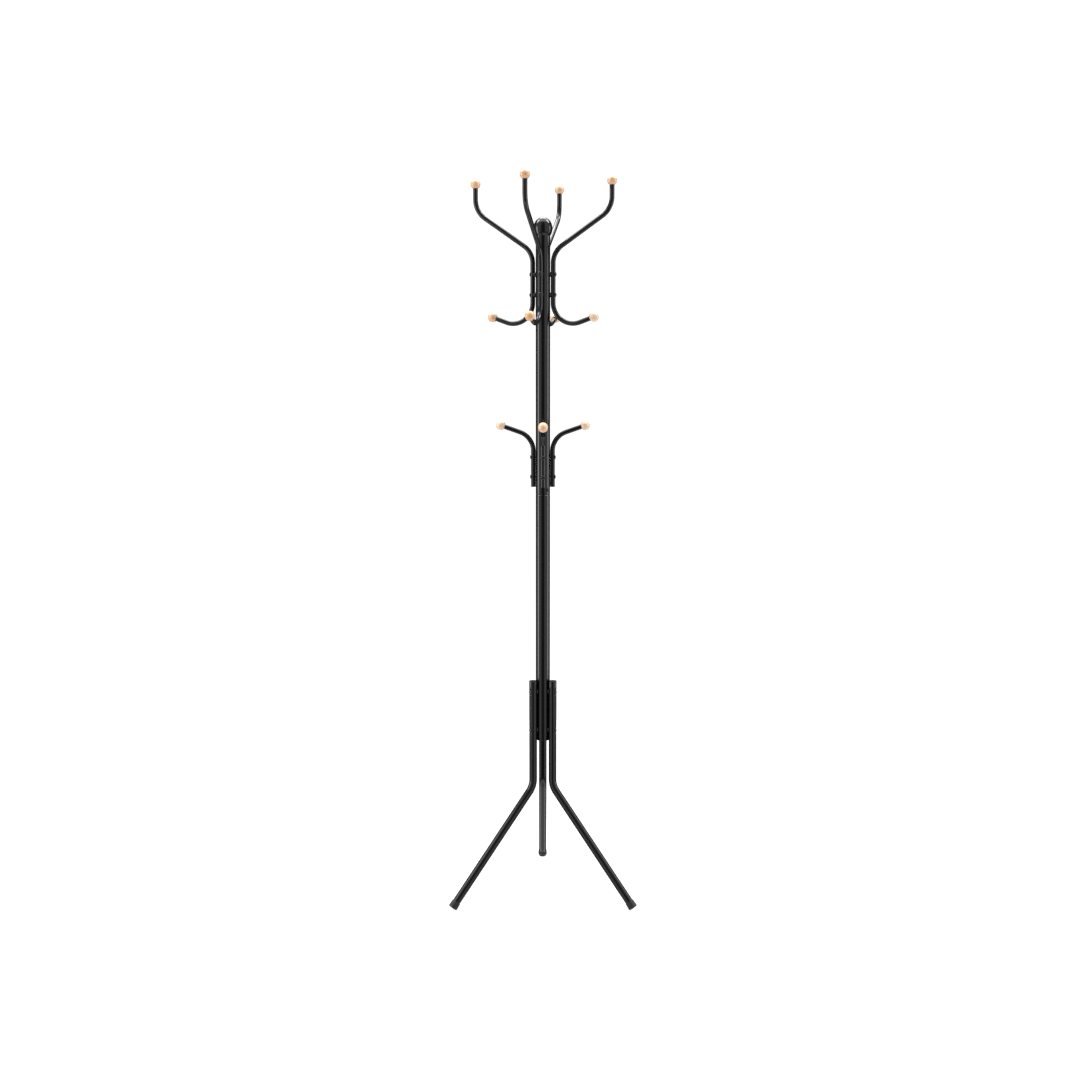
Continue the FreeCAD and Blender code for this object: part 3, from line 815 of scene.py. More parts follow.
@dataclass(frozen=True)
class Beech:
    """Turned beech under clear lacquer, grain along Z of the ball's own coordinates.

    Growth rings are shells round a pith that lies outside the ball, flecks are short dashes
    along the grain, and the pores are finer dashes that also dent the lacquer.  Each ball is
    cut from its own blank, so its mesh carries how pale it is.  Pith is the pith's distance
    from the ball's middle, ring the distance between two rings and wander how far they stray.
    """

    early: Colour = (0.82, 0.465, 0.245, 1)
    late: Colour = (0.70, 0.36, 0.165, 1)
    pale: Colour = (0.88, 0.67, 0.48, 1)
    fleck: Colour = (0.48, 0.25, 0.12, 1)
    pith: float = 0.055
    ring: float = 0.0031
    wander: float = 0.0022
    fleck_strength: float = 0.16
    dent: float = 0.000002

    def make(self) -> bpy.types.Material:
        """Build the material.

        Returns:
            The finished material.
        """
        graph = Graph.named(Slot.BEECH.value + "_finish")
        place = graph.place("grain")
        axes = graph.node("ShaderNodeSeparateXYZ", {}, {0: place})
        across, deep = Value(graph, axes.outputs[0]), Value(graph, axes.outputs[1])
        wander = graph.noise(graph.stretch(place, (1, 1, 0.25)), 70, 2)
        from_pith = ((across + self.pith) * (across + self.pith) + deep * deep).maths("SQRT")
        saw = ((from_pith + self.wander * wander) / self.ring).maths("FRACT")
        rings = saw.step(0.10, 0.90) * (1 - saw.step(0.90, 1.0))
        flecks = graph.noise(graph.stretch(place, (1, 0.4, 0.09)), 3000, 2, 0.5).step(0.60, 0.74)
        pores = graph.noise(graph.stretch(place, (1, 1, 0.07)), 5200, 2)
        tone = graph.noise(place, 60, 2)
        wood = graph.mix(0.45 * rings + 0.4 * tone, self.early, self.late)
        blank = graph.mix(graph.amount("pale"), wood, self.pale)
        return graph.surface({
            "Base Color": graph.mix(flecks * self.fleck_strength, blank, self.fleck),
            "Roughness": 0.30 + 0.08 * pores + 0.05 * rings,
            "IOR": 1.5,
            "Coat Weight": 0.5,
            "Coat Roughness": 0.16,
            "Normal": graph.bump(pores + 0.6 * flecks, self.dent),
        })


@dataclass(frozen=True)
class Metal:
    """Bare or blackened metal with a brushed grain and small patches of tarnish.

    The grain says how much its coordinates are stretched along each axis.
    """

    slot: Slot
    low: Colour
    high: Colour
    metallic: float
    gloss: float
    grain: tuple[float, float, float] = (1, 1, 1)
    scratch: float = 0.000006

    def make(self) -> bpy.types.Material:
        """Build the material.

        Returns:
            The finished material.
        """
        graph = Graph.named(self.slot.value + "_finish")
        place = graph.place()
        brushed = graph.noise(graph.stretch(place, self.grain), 1800, 2)
        patches = graph.noise(place, 210, 3, 0.6)
        return graph.surface({
            "Base Color": graph.mix(patches, self.low, self.high),
            "Metallic": self.metallic,
            "Roughness": self.gloss + 0.10 * patches + 0.10 * brushed,
            "Normal": graph.bump(brushed, self.scratch),
        })


def make_finishes() -> dict[Slot, bpy.types.Material]:
    """Make all the rack's materials.

    Returns:
        The materials by slot.
    """
    makers = {
        Slot.BLACK_PAINT: StovedPaint(),
        Slot.GLOSS_PLASTIC: MouldedPlastic(
            Slot.GLOSS_PLASTIC, colour=(0.0028, 0.0028, 0.003, 1),
            gloss=0.06, grain=900, texture=0.0000015),
        Slot.FOOT_RUBBER: Rubber(),
        Slot.BEECH: Beech(),
        Slot.BLACK_BOLT: Metal(
            Slot.BLACK_BOLT, low=(0.0025, 0.0025, 0.0027, 1), high=(0.006, 0.006, 0.0065, 1),
            metallic=0.0, gloss=0.16),
        Slot.SPACER_PLASTIC: MouldedPlastic(
            Slot.SPACER_PLASTIC, colour=(0.0045, 0.0045, 0.0048, 1),
            gloss=0.38, grain=1400, texture=0.00002),
        Slot.ZINC_STEEL: Metal(
            Slot.ZINC_STEEL, low=(0.56, 0.57, 0.58, 1), high=(0.70, 0.69, 0.66, 1),
            metallic=1.0, gloss=0.22),
        Slot.SPRING_STEEL: Metal(
            Slot.SPRING_STEEL, low=(0.38, 0.38, 0.40, 1), high=(0.50, 0.50, 0.52, 1),
            metallic=1.0, gloss=0.26, grain=(1, 1, 0.06)),
    }
    return {slot: maker.make() for slot, maker in makers.items()}


# ---------------------------------------------------------------- the workshop


@dataclass
class Workshop:
    """Closes grids into meshes, dresses them and sets them on the frame's bodies."""

    finishes: dict[Slot, bpy.types.Material]
    nodes: dict[str, bpy.types.Object]
    joints: dict[str, dict]
    axis: Vector

    def round_pole(self, grid: np.ndarray, turn: float) -> np.ndarray:
        """Turn points about the pole's axis and set them at the pole.

        Args:
            grid: Points worked out as if their side of the pole were the right.
            turn: Degrees from the right, counter-clockwise seen from above.

        Returns:
            The points in the frame.
        """
        cosine, sine = math.cos(math.radians(turn)), math.sin(math.radians(turn))
        x, y, z = grid[..., 0], grid[..., 1], grid[..., 2]
        right, back = x * cosine - y * sine, x * sine + y * cosine
        return np.stack((self.axis.x + right, self.axis.y + back, z), axis=-1)

    def whole(self, grid: np.ndarray, turn: float = 0.0) -> Patch:
        """All the cells of a grid, turned about the pole's axis."""
        return self.round_pole(grid, turn), None

    def close(self, name: str, patches: Sequence[Patch]) -> bpy.types.Mesh:
        """Join grids into one closed mesh.

        Cell (i, j) of a grid is the quad of points (i, j), (i, j + 1), (i + 1, j + 1) and
        (i + 1, j).  Points that coincide become one, which closes seams and poles.

        Args:
            name: The mesh's name.
            patches: Points of each grid, and a mask of its kept cells or None.

        Returns:
            The mesh, its faces outwards.
        """
        points, quads, count = [], [], 0
        for grid, keep in patches:
            rows, columns = grid.shape[:2]
            index = count + np.arange(rows * columns).reshape(rows, columns)
            cells = np.stack((index[:-1, :-1], index[:-1, 1:], index[1:, 1:], index[1:, :-1]), axis=-1)
            quads.append(cells.reshape(-1, 4) if keep is None else cells[keep])
            points.append(grid.reshape(-1, 3))
            count += rows * columns
        mesh = bpy.data.meshes.new(name)
        mesh.from_pydata(np.concatenate(points).tolist(), [], np.concatenate(quads).tolist())
        form = bmesh.new()
        form.from_mesh(mesh)
        bmesh.ops.remove_doubles(form, verts=form.verts, dist=MERGE_DISTANCE)
        bmesh.ops.delete(form, geom=[vert for vert in form.verts if not vert.link_faces], context="VERTS")
        bmesh.ops.recalc_face_normals(form, faces=form.faces)
        loose = sum(not edge.is_manifold for edge in form.edges)
        form.to_mesh(mesh)
        form.free()
        if loose:
            log.warning("%s: %d open edges", name, loose)
        mesh.shade_smooth()
        mesh.set_sharp_from_angle(angle=SHARP_ANGLE)
        return mesh

    def piece(self, node: str, patches: Sequence[Patch], slot: Slot,
              body: Body = Body.RACK) -> bpy.types.Object:
        """Make the finished piece that stands for one node of the frame.

        Args:
            node: The node it replaces.
            patches: Its surface.
            slot: Its finish.
            body: The body it rides on.

        Returns:
            The piece.
        """
        name = node + "_surface"
        made = bpy.data.objects.new(name, self.close(name, patches))
        bpy.context.scene.collection.objects.link(made)
        made.data.materials.append(self.finishes[slot])
        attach(made, body.value)
        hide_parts(node)
        corners = np.array([corner.co for corner in made.data.vertices])
        off = np.abs(np.array((corners.min(0), corners.max(0))) - np.array(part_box(node))).max()
        log.info("%s: %d faces, within %.2f mm of its node's box",
                 name, len(made.data.polygons), off * 1000)
        return made

    def tube(self, node: str, tube: Tube, turn: float = 0.0) -> bpy.types.Object:
        """Make a painted tube's piece.

        Args:
            node: The node it replaces.
            tube: The tube.
            turn: Its side of the pole, in degrees.

        Returns:
            The piece.
        """
        patches = [(self.round_pole(grid, turn), keep) for grid, keep in tube.patches()]
        return self.piece(node, patches, Slot.BLACK_PAINT)

    def dress_node(self, node: str, slot: Slot) -> None:
        """Give a node of the frame that stays as it is its finish.

        Args:
            node: The node.
            slot: Its finish.
        """
        mesh = self.nodes[node].data
        mesh.materials.clear()
        mesh.materials.append(self.finishes[slot])
        log.info("%s: kept, dressed as %s", node, slot.value)


@dataclass
class Assembly:
    """What every sub-assembly has: the workshop that makes its pieces, and those pieces."""

    shop: Workshop
    pieces: list[bpy.types.Object] = field(default_factory=list)

    def build(self) -> None:
        """Make all the pieces."""
        raise NotImplementedError


def levels_of(node: str, head: float) -> tuple[float, float]:
    """Upper and lower level of a node that holds two rings of bolts.

    Args:
        node: The node.
        head: Radius of the bolts' heads.

    Returns:
        The two heights.
    """
    low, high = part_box(node)
    return high.z - head, low.z + head


# ---------------------------------------------------------------- fasteners


@dataclass(frozen=True)
class Bolt:
    """Button-head socket bolt that lies along a radius of the pole."""

    tip: float = 0.0075
    shank: float = 0.00295
    head: float = 0.0055
    rim: float = 0.0008
    dome: float = 0.0023
    flats: float = 0.004
    mouth: float = 0.00256
    socket: float = 0.0018
    bevel: float = 0.0004
    columns: int = 60

    def grid(self, seat: float, level: float) -> np.ndarray:
        """Surface of one bolt.

        Rings run from the tip along the shank, over the head and down into the socket.  The
        radius of a ring is a blend of a circle and a hexagon, whose radius at the angle a is
        (flats / 2) / cos((a mod 60) - 30).

        Args:
            seat: Distance from the pole's axis at which the head bears.
            level: Height of the bolt.

        Returns:
            A closed grid.
        """
        top = seat + self.rim + self.dome
        curve = (self.head ** 2 + self.dome ** 2) / (2 * self.dome)
        outline = filleted([
            (0.0, self.tip, 0), (self.shank - self.bevel, self.tip, 0),
            (self.shank, self.tip + self.bevel, 0), (self.shank, seat, 0), (self.head, seat, 0.0002),
            (self.head, seat + self.rim, 0.0003), (self.head * 0.955, seat + self.rim + 0.00028, 0),
        ])
        widest = math.degrees(math.asin(self.head * 0.94 / curve))
        opening = math.degrees(math.asin(self.mouth / curve))
        dome = arc((0, top - curve), (curve, curve), 90 - widest, 90 - opening, 9)
        lip, floor = dome[-1, 1], top - self.socket
        hexagon = np.array([(self.mouth, lip - 0.0001), (0.0, lip - 0.00035), (0.0, floor), (0.0, floor)])
        profile = np.vstack((outline, dome, hexagon))
        amount = np.zeros((len(profile), 1))
        amount[-3:, 0] = (1, 1, 0)
        angle = np.linspace(0, 2 * np.pi, self.columns + 1)
        six = (self.flats / 2) / np.cos(np.mod(angle, np.pi / 3) - np.pi / 6)
        radius = profile[:, :1] * (1 - amount) + six * amount
        height = np.broadcast_to(profile[:, 1:], radius.shape)
        spun = np.stack((radius * np.cos(angle), radius * np.sin(angle), height), axis=-1)
        return stood(spun, 0, level, 90)


@dataclass(frozen=True)
class Spacer:
    """Saddle spacer between the pole and a bolted tube, hollowed to both."""

    radius: float = 0.0062
    bore: float = 0.0032
    gap: float = 0.00005
    soft: float = 0.00018
    pole_radius: float = 0.018
    pole_wall: float = 0.0012
    columns: int = 72

    def grid(self, tube_radius: float, offset: float, level: float) -> np.ndarray:
        """Surface of one spacer.

        Along its own axis a point of ring radius r at the angle a stands across = r cos a from
        the axis.  The pole's saddle lies at sqrt(pole^2 - across^2) and the tube's saddle at
        offset - sqrt(tube^2 - across^2), or at the blank's plain end where the tube is narrower.

        Args:
            tube_radius: Radius of the bolted tube.
            offset: Distance between the two tubes' centre lines.
            level: Height of the spacer's axis.

        Returns:
            A closed grid, its first and last rings being one.
        """
        angle = np.linspace(0, 2 * np.pi, self.columns + 1)
        pole, tube = self.pole_radius + self.gap, tube_radius + self.gap
        edge, slope = self.radius - self.soft, 0.3 * self.soft

        def ring(radius: float, share: float, inwards: float) -> np.ndarray:
            """One ring of the surface.

            Args:
                radius: Its radius about the spacer's own axis.
                share: Share of the way from the pole's saddle, 0, to the tube's, 1.
                inwards: How far it is moved from its saddle into the spacer.

            Returns:
                Its points.
            """
            across, up = radius * np.cos(angle), radius * np.sin(angle)
            start = np.sqrt(pole ** 2 - across ** 2)
            hollow = offset - np.sqrt(np.clip(tube ** 2 - across ** 2, 0, None))
            end = np.minimum(hollow, offset - self.pole_wall)
            out = start + (end - start) * share + inwards * (1 - 2 * share)
            return np.stack((out, across, level + up), axis=-1)

        return np.stack([
            ring(self.bore, 0, 0), ring(edge, 0, 0), ring(self.radius - slope, 0, slope),
            ring(self.radius, 0, self.soft), ring(self.radius, 0.5, 0), ring(self.radius, 1, self.soft),
            ring(self.radius - slope, 1, slope), ring(edge, 1, 0),
            ring(self.bore, 1, 0), ring(self.bore, 0, 0),
        ])


# ---------------------------------------------------------------- pole


@dataclass
class Pole(Assembly):
    """Two-piece pole with its cap and bottom plug."""

    bolt: Bolt = field(default_factory=Bolt)
    radius: float = 0.018
    wall: float = 0.0012
    seam: float = 0.0002
    swage: float = 0.0016
    neck_gap: float = 0.00015
    insert_hole: float = 0.0044
    button_side: float = -45.0
    button_hole: float = 0.0054
    button_bore: float = 0.00498
    spigot_gap: float = 0.00012
    spigot_wall: float = 0.002
    cap_radius: float = 0.0235
    cap_half_height: float = 0.028
    cap_cut: float = 0.018
    cap_spigot: float = 0.020
    plug_rim: float = 0.002
    plug_dome: float = 0.003
    plug_spigot: float = 0.016
    columns: int = 96
    upper_turn: float = -14.3
    twist_margin: float = 0.02

    def build(self) -> None:
        """Make all of the pole."""
        self.pieces = [self.lower_tube(), self.upper_tube(), self.cap(), self.bottom_plug()]

    def button_level(self) -> float:
        """Height of the snap button."""
        low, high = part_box("snap_button")
        return (low.z + high.z) / 2

    def lower_tube(self) -> bpy.types.Object:
        """Lower tube, drawn in to the neck that the upper tube slips over.

        Returns:
            The piece.
        """
        low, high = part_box("lower_pole")
        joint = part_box("upper_pole")[0].z - self.seam
        neck = self.radius - self.wall - self.neck_gap
        line = BentLine(((0.0, low.z), (0.0, high.z)))
        leg_holes = [Hole(level - low.z, side, self.insert_hole)
                     for level in levels_of("leg_bolts", self.bolt.head) for side in (90.0, 210.0, 330.0)]
        button = Hole(self.button_level() - low.z, self.button_side, self.button_bore)
        steps = ((0.0, self.radius), (joint - self.swage - low.z, self.radius),
                 (joint - low.z, neck), (high.z - low.z, neck))
        tube = Tube(line, self.radius, self.wall, self.columns, 12, (*leg_holes, button), neck=steps)
        return self.shop.tube("lower_pole", tube)

    def upper_tube(self) -> bpy.types.Object:
        """Upper tube with the holes for both sets of hooks and for the button.

        The upper hooks aren't a whole number of columns round from the lower ones, so the
        columns are twisted a little between the two sets.

        Returns:
            The piece.
        """
        low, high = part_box("upper_pole")
        line = BentLine(((0.0, low.z), (0.0, high.z)))
        column = 360 / self.columns
        twist = self.upper_turn - column * round(self.upper_turn / column)
        holes = [Hole(self.button_level() - low.z, self.button_side, self.button_hole)]
        for node, turn in (("lower_hook_bolts", 0.0), ("upper_hook_bolts", self.upper_turn)):
            holes += [Hole(level - low.z, turn + 90 * side.value, self.insert_hole)
                      for level in levels_of(node, self.bolt.head) for side in Side]
        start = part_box("lower_hook_bolts")[1].z - low.z + self.twist_margin
        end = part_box("upper_hook_bolts")[0].z - low.z - self.twist_margin
        tube = Tube(line, self.radius, self.wall, self.columns, 12, tuple(holes),
                    twist=((start, 0.0), (end, twist)))
        return self.shop.tube("upper_pole", tube)

    def cap(self) -> bpy.types.Object:
        """Hollow egg on a tubular spigot: r = A cos t, z = B sin t about its widest ring.

        Returns:
            The piece.
        """
        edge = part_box("upper_pole")[1].z
        centre = (0.0, edge + self.cap_cut)
        spigot = self.radius - self.wall - self.spigot_gap
        inner = spigot - self.spigot_wall
        inner_radius = self.cap_radius - self.spigot_wall
        inner_height = self.cap_half_height - self.spigot_wall
        cut = math.degrees(math.asin((self.cap_cut - 0.0004) / self.cap_half_height))
        meet = math.degrees(math.acos(inner / inner_radius))
        outside = arc(centre, (self.cap_radius, self.cap_half_height), 90, -cut, 49)
        foot = filleted([
            (*outside[-1], 0), (self.radius, edge, 0.00025), (spigot, edge, 0),
            (spigot, edge - self.cap_spigot, 0.0006), (inner, edge - self.cap_spigot, 0),
        ])
        inside = arc(centre, (inner_radius, inner_height), -meet, 90, 33)
        grid = turned(np.vstack((outside, foot[1:], inside)), self.columns)
        return self.shop.piece("pole_top_cap", [self.shop.whole(grid)], Slot.GLOSS_PLASTIC)

    def bottom_plug(self) -> bpy.types.Object:
        """Shallow domed plug that closes the pole's foot: an arc for its dome, and a spigot.

        Returns:
            The piece.
        """
        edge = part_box("lower_pole")[0].z
        spigot = self.radius - self.wall - self.spigot_gap
        inner, top = spigot - self.spigot_wall, edge + self.plug_spigot
        curve = (self.radius ** 2 + self.plug_dome ** 2) / (2 * self.plug_dome)
        rim = edge - self.plug_rim
        widest = math.degrees(math.asin(self.radius * 0.97 / curve))
        dome = arc((0, rim - self.plug_dome + curve), (curve, curve), -90, -90 + widest, 17)
        rest = filleted([
            (*dome[-1], 0), (self.radius, rim, 0.0005), (self.radius, edge - self.spigot_gap, 0.0002),
            (spigot, edge - self.spigot_gap, 0), (spigot, top, 0.0005), (inner, top, 0),
            (inner, edge, 0), (0.0, edge, 0),
        ])
        grid = turned(np.vstack((dome, rest[1:])), self.columns)
        return self.shop.piece("pole_bottom_plug", [self.shop.whole(grid)], Slot.GLOSS_PLASTIC)


@dataclass
class SnapButton(Assembly):
    """Spring button that locks the two tubes, and the V-shaped strip behind it."""

    side: float = -45.0
    radius: float = 0.0049
    tip: float = 0.0204
    dome: float = 0.002
    flange_radius: float = 0.0065
    flange_face: float = 0.0138
    flange_thickness: float = 0.001
    strip: float = 0.0008
    width: float = 0.008
    upright: float = 0.009
    depth: float = 0.046
    bend: float = 0.0032
    back: float = 0.01435
    play: float = 0.0001
    soft: float = 0.0002

    def build(self) -> None:
        """Make the button and its spring."""
        low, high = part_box("snap_button")
        level = (low.z + high.z) / 2
        self.pieces = [self.button(level), self.spring(level)]

    def button(self, level: float) -> bpy.types.Object:
        """Domed button on its flange, turned about a radius of the pole.

        Args:
            level: Its height.

        Returns:
            The piece, which rides on the button's own body.
        """
        foot = self.flange_face - self.flange_thickness
        curve = (self.radius ** 2 + self.dome ** 2) / (2 * self.dome)
        widest = math.degrees(math.asin(self.radius * 0.93 / curve))
        start = filleted([
            (0.0, foot, 0), (self.flange_radius, foot, self.soft),
            (self.flange_radius, self.flange_face, self.soft), (self.radius, self.flange_face, 0),
            (self.radius, self.tip - self.dome, 0.0006),
            (self.radius * 0.94, self.tip - self.dome * 0.86, 0),
        ])
        dome = arc((0, self.tip - curve), (curve, curve), 90 - widest, 90, 13)
        grid = stood(turned(np.vstack((start[:-1], dome)), 64), 0, level, 90)
        return self.shop.piece("snap_button", [self.shop.whole(grid, self.side)],
                               Slot.BLACK_BOLT, Body.BUTTON)

    def spring(self, level: float) -> bpy.types.Object:
        """Flat strip carried down behind the button, round its apex and up the far wall.

        Its section is a rectangle with bevelled corners.

        Args:
            level: The button's height.

        Returns:
            The piece.
        """
        front = self.flange_face - self.flange_thickness - self.play - self.strip / 2
        top = level + self.upright
        line = BentLine(((-self.back, top), (0.0, level - self.depth), (front, level - self.upright),
                         (front, top)), (self.bend, self.bend))
        half, wide, soft = self.strip / 2, self.width / 2, self.soft
        section = np.array([
            (half, -wide + soft), (half, wide - soft), (half - soft, wide), (-half + soft, wide),
            (-half, wide - soft), (-half, -wide + soft), (-half + soft, -wide), (half - soft, -wide),
            (half, -wide + soft)])
        rows = np.unique(np.round(line.rows(8, 0.01), 9))
        rows = np.concatenate((rows[:1], rows, rows[-1:]))[:, None]
        size = np.ones_like(rows)
        size[[0, -1]] = 0
        grid = carried(line, rows, size * section[:, 0], size * section[:, 1])
        spring = self.shop.piece("button_spring", [self.shop.whole(grid, self.side)], Slot.SPRING_STEEL)
        travel = self.shop.joints["button_press"]["range_m"][1]
        1 - travel / (front + self.back)
        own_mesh(spring)
        return spring


# ---------------------------------------------------------------- balls


@dataclass(frozen=True)
class Ball:
    """Turned wooden ball with a drilled flat, on the end of a hook."""

    radius: float = 0.0123
    flat: float = 0.0072
    bore: float = 0.0061
    bottom: float = 0.0004
    block: float = 0.11
    spin: float = 2.4
    tilt: float = 0.35
    columns: int = 72

    def profile(self) -> np.ndarray:
        """Outline from the bore's bottom, over the flat and round the ball to its crown.

        Returns:
            An array of (n, 2), radius and height about the ball's middle.
        """
        face = -math.sqrt(self.radius ** 2 - self.flat ** 2)
        edge = math.degrees(math.asin(-face / self.radius))
        round_part = arc((0, 0), (self.radius, self.radius), 5 - edge, 90, 41)
        start = filleted([
            (0.0, self.bottom, 0), (self.bore, self.bottom, 0), (self.bore, face, 0.0002),
            (self.flat, face, 0.00035), (*round_part[0], 0),
        ])
        return np.vstack((start[:-1], round_part))

    def fit(self, shop: Workshop, node: str, place: tuple[float, float], lean: float, turn: float,
            number: int, pale: float) -> bpy.types.Object:
        """Set one ball on its rod.

        The mesh carries its own wood coordinates, about its centre and with the grain along
        their Z.  Each ball's are spun by spin * number and tilted by tilt * sin(3.1 number), in
        radians, and moved along the grain by block * number.

        Args:
            shop: The workshop.
            node: The ball's node.
            place: Distance of its centre from the pole's axis, and its height.
            lean: Lean of its bore from upright, in degrees.
            turn: Its side of the pole, in degrees.
            number: Its place in the whole set of balls.
            pale: How pale its blank is, from 0 to 1.

        Returns:
            The piece.
        """
        grid = stood(turned(self.profile(), self.columns), *place, lean)
        ball = shop.piece(node, [shop.whole(grid, turn)], Slot.BEECH)
        centre = shop.round_pole(np.array((place[0], 0.0, place[1])), turn)
        points = np.array([corner.co for corner in ball.data.vertices]) - centre
        axes = (Matrix.Rotation(math.radians(turn), 3, "Z") @ Matrix.Rotation(math.radians(lean), 3, "Y")
                @ Matrix.Rotation(self.spin * number, 3, "Z")
                @ Matrix.Rotation(self.tilt * math.sin(3.1 * number), 3, "X"))
        own = points @ np.array(axes)
        own[:, 2] += self.block * number
        grain = ball.data.attributes.new("grain", "FLOAT_VECTOR", "POINT")
        grain.data.foreach_set("vector", own.astype(np.float32).ravel())
        tone = ball.data.attributes.new("pale", "FLOAT", "POINT")
        tone.data.foreach_set("value", np.full(len(own), pale, np.float32))
        return ball


# ---------------------------------------------------------------- hooks


def through_holes(distances: Sequence[float], radius: float) -> tuple[Hole, ...]:
    """Holes through both sides of a tube, one straight behind the other.

    Args:
        distances: Distances along the tube.
        radius: The holes' radius.

    Returns:
        Two holes at each distance.
    """
    return tuple(Hole(distance, side, radius) for distance in distances for side in (0.0, 180.0))


@dataclass
class Hooks(Assembly):
    """What both sets of hooks share: their rods, bolts and balls."""

    bolt: Bolt = field(default_factory=Bolt)
    ball: Ball = field(default_factory=Ball)
    rod_radius: float = 0.006
    rod_wall: float = 0.0012
    flat_depth: float = 0.0006
    flat_radius: float = 0.0058
    bolt_hole: float = 0.0032
    columns: int = 64
    hole_columns: int = 20
    flat_soft: float = 0.00015

    def rod(self, node: str, line: BentLine, bolts: str, turn: float) -> bpy.types.Object:
        """Bent rod with bolt holes through its upright run and a flat under each bolt head.

        Args:
            node: The rod's node.
            line: Its centre line.
            bolts: The node of the bolts that go through it.
            turn: Its side of the pole, in degrees.

        Returns:
            The piece.
        """
        distances = [line.distance_to_level(level) for level in levels_of(bolts, self.bolt.head)]
        seat = self.rod_radius - self.flat_depth
        tube = Tube(line, self.rod_radius, self.rod_wall, self.columns, self.hole_columns,
                    through_holes(distances, self.bolt_hole),
                    tuple(Press(distance, seat, self.flat_radius) for distance in distances),
                    soft=self.flat_soft)
        return self.shop.tube(node, tube, turn)

    def bolts(self, node: str, offset: float, turn: float) -> bpy.types.Object:
        """Both rings of bolts of a set.

        Args:
            node: Their node.
            offset: Distance of the rods' upright runs from the pole's axis.
            turn: Side of the pole of the first hook, in degrees.

        Returns:
            The piece.
        """
        seat = offset + self.rod_radius - self.flat_depth
        patches = [self.shop.whole(self.bolt.grid(seat, level), turn + 90 * side.value)
                   for level in levels_of(node, self.bolt.head) for side in Side]
        return self.shop.piece(node, patches, Slot.BLACK_BOLT)


@dataclass
class UpperHooks(Hooks):
    """Four double hooks: a peg that rises and flares out, and a crook that curls up below."""

    offset: float = 0.026
    turn: float = -14.3
    peg_upright: float = 0.067
    peg_bend: float = 0.055
    arm_tilt: float = 55.5
    arm_bend: float = 0.052
    crook_bend: float = 0.0505
    crook_rise: float = 20.0
    crook_reach: float = 0.129
    peg_pale: tuple[float, ...] = (0.25, 0.3, 0.2, 0.1)
    crook_pale: tuple[float, ...] = (0.8, 0.5, 0.2, 0.05)
    spacer: Spacer = field(default_factory=Spacer)

    def build(self) -> None:
        """Make the four hooks, their balls, bolts and spacers."""
        low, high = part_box("peg_ball_right")
        middle = (low + high) / 2 - self.shop.axis
        peg = (math.hypot(middle.x, middle.y), high.z - self.ball.radius)
        crook_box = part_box("crook_ball_right")
        crook = (self.crook_reach, (crook_box[0].z + crook_box[1].z) / 2)
        peg_corner = peg[1] - self.peg_upright
        arm_corner = peg_corner - (peg[0] - self.offset) / math.tan(math.radians(self.arm_tilt))
        crook_corner = crook[1] - (crook[0] - self.offset) * math.tan(math.radians(self.crook_rise))
        line = BentLine(
            (crook, (self.offset, crook_corner), (self.offset, arm_corner), (peg[0], peg_corner), peg),
            (self.crook_bend, self.arm_bend, self.peg_bend))
        for side in Side:
            name, turn = side.name.lower(), self.turn + 90 * side.value
            self.pieces += [
                self.rod(f"upper_hook_{name}", line, "upper_hook_bolts", turn),
                self.ball.fit(self.shop, f"peg_ball_{name}", peg, 0.0, turn, side.value,
                              self.peg_pale[side.value]),
                self.ball.fit(self.shop, f"crook_ball_{name}", crook, 90 - self.crook_rise, turn,
                              4 + side.value, self.crook_pale[side.value]),
            ]
        spacers = [self.shop.whole(self.spacer.grid(self.rod_radius, self.offset, level),
                                   self.turn + 90 * side.value)
                   for level in levels_of("upper_hook_bolts", self.bolt.head) for side in Side]
        self.pieces += [self.bolts("upper_hook_bolts", self.offset, self.turn),
                        self.shop.piece("upper_hook_spacers", spacers, Slot.SPACER_PLASTIC)]


@dataclass
class LowerHooks(Hooks):
    """Four single hooks: an upright rod that bends out into a gently rising arm."""

    offset: float = 0.0241
    bend: float = 0.050
    rise: float = 19.5
    reach: float = 0.1055
    pale: tuple[float, ...] = (0.85, 0.6, 0.85, 0.4)
    plug_rim: float = 0.0018
    plug_spigot: float = 0.008
    spigot_gap: float = 0.00012
    seam: float = 0.00005

    def build(self) -> None:
        """Make the four hooks, their balls, bolts and end plugs."""
        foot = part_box("lower_hook_right")[0].z
        ball_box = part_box("lower_ball_right")
        level = (ball_box[0].z + ball_box[1].z) / 2
        corner = level - (self.reach - self.offset) * math.tan(math.radians(self.rise))
        line = BentLine(((self.offset, foot), (self.offset, corner), (self.reach, level)), (self.bend,))
        plugs = []
        for side in Side:
            name, turn = side.name.lower(), 90.0 * side.value
            self.pieces += [
                self.rod(f"lower_hook_{name}", line, "lower_hook_bolts", turn),
                self.ball.fit(self.shop, f"lower_ball_{name}", (self.reach, level), 90 - self.rise, turn,
                              8 + side.value, self.pale[side.value]),
            ]
            plugs.append(self.shop.whole(self.end_plug(foot), turn))
        self.pieces += [self.bolts("lower_hook_bolts", self.offset, 0.0),
                        self.shop.piece("lower_hook_end_plugs", plugs, Slot.GLOSS_PLASTIC)]

    def end_plug(self, edge: float) -> np.ndarray:
        """Plug with a flat rim under the tube's edge and a spigot inside it.

        Args:
            edge: Height of the tube's edge.

        Returns:
            A closed grid.
        """
        spigot = self.rod_radius - self.rod_wall - self.spigot_gap
        profile = filleted([
            (0.0, self.plug_spigot, 0), (spigot, self.plug_spigot, 0.0004), (spigot, -self.seam, 0),
            (self.rod_radius, -self.seam, 0.0001), (self.rod_radius, -self.plug_rim, 0.0005),
            (0.0, -self.plug_rim, 0),
        ])
        return stood(turned(profile, 64), self.offset, edge)


# ---------------------------------------------------------------- legs


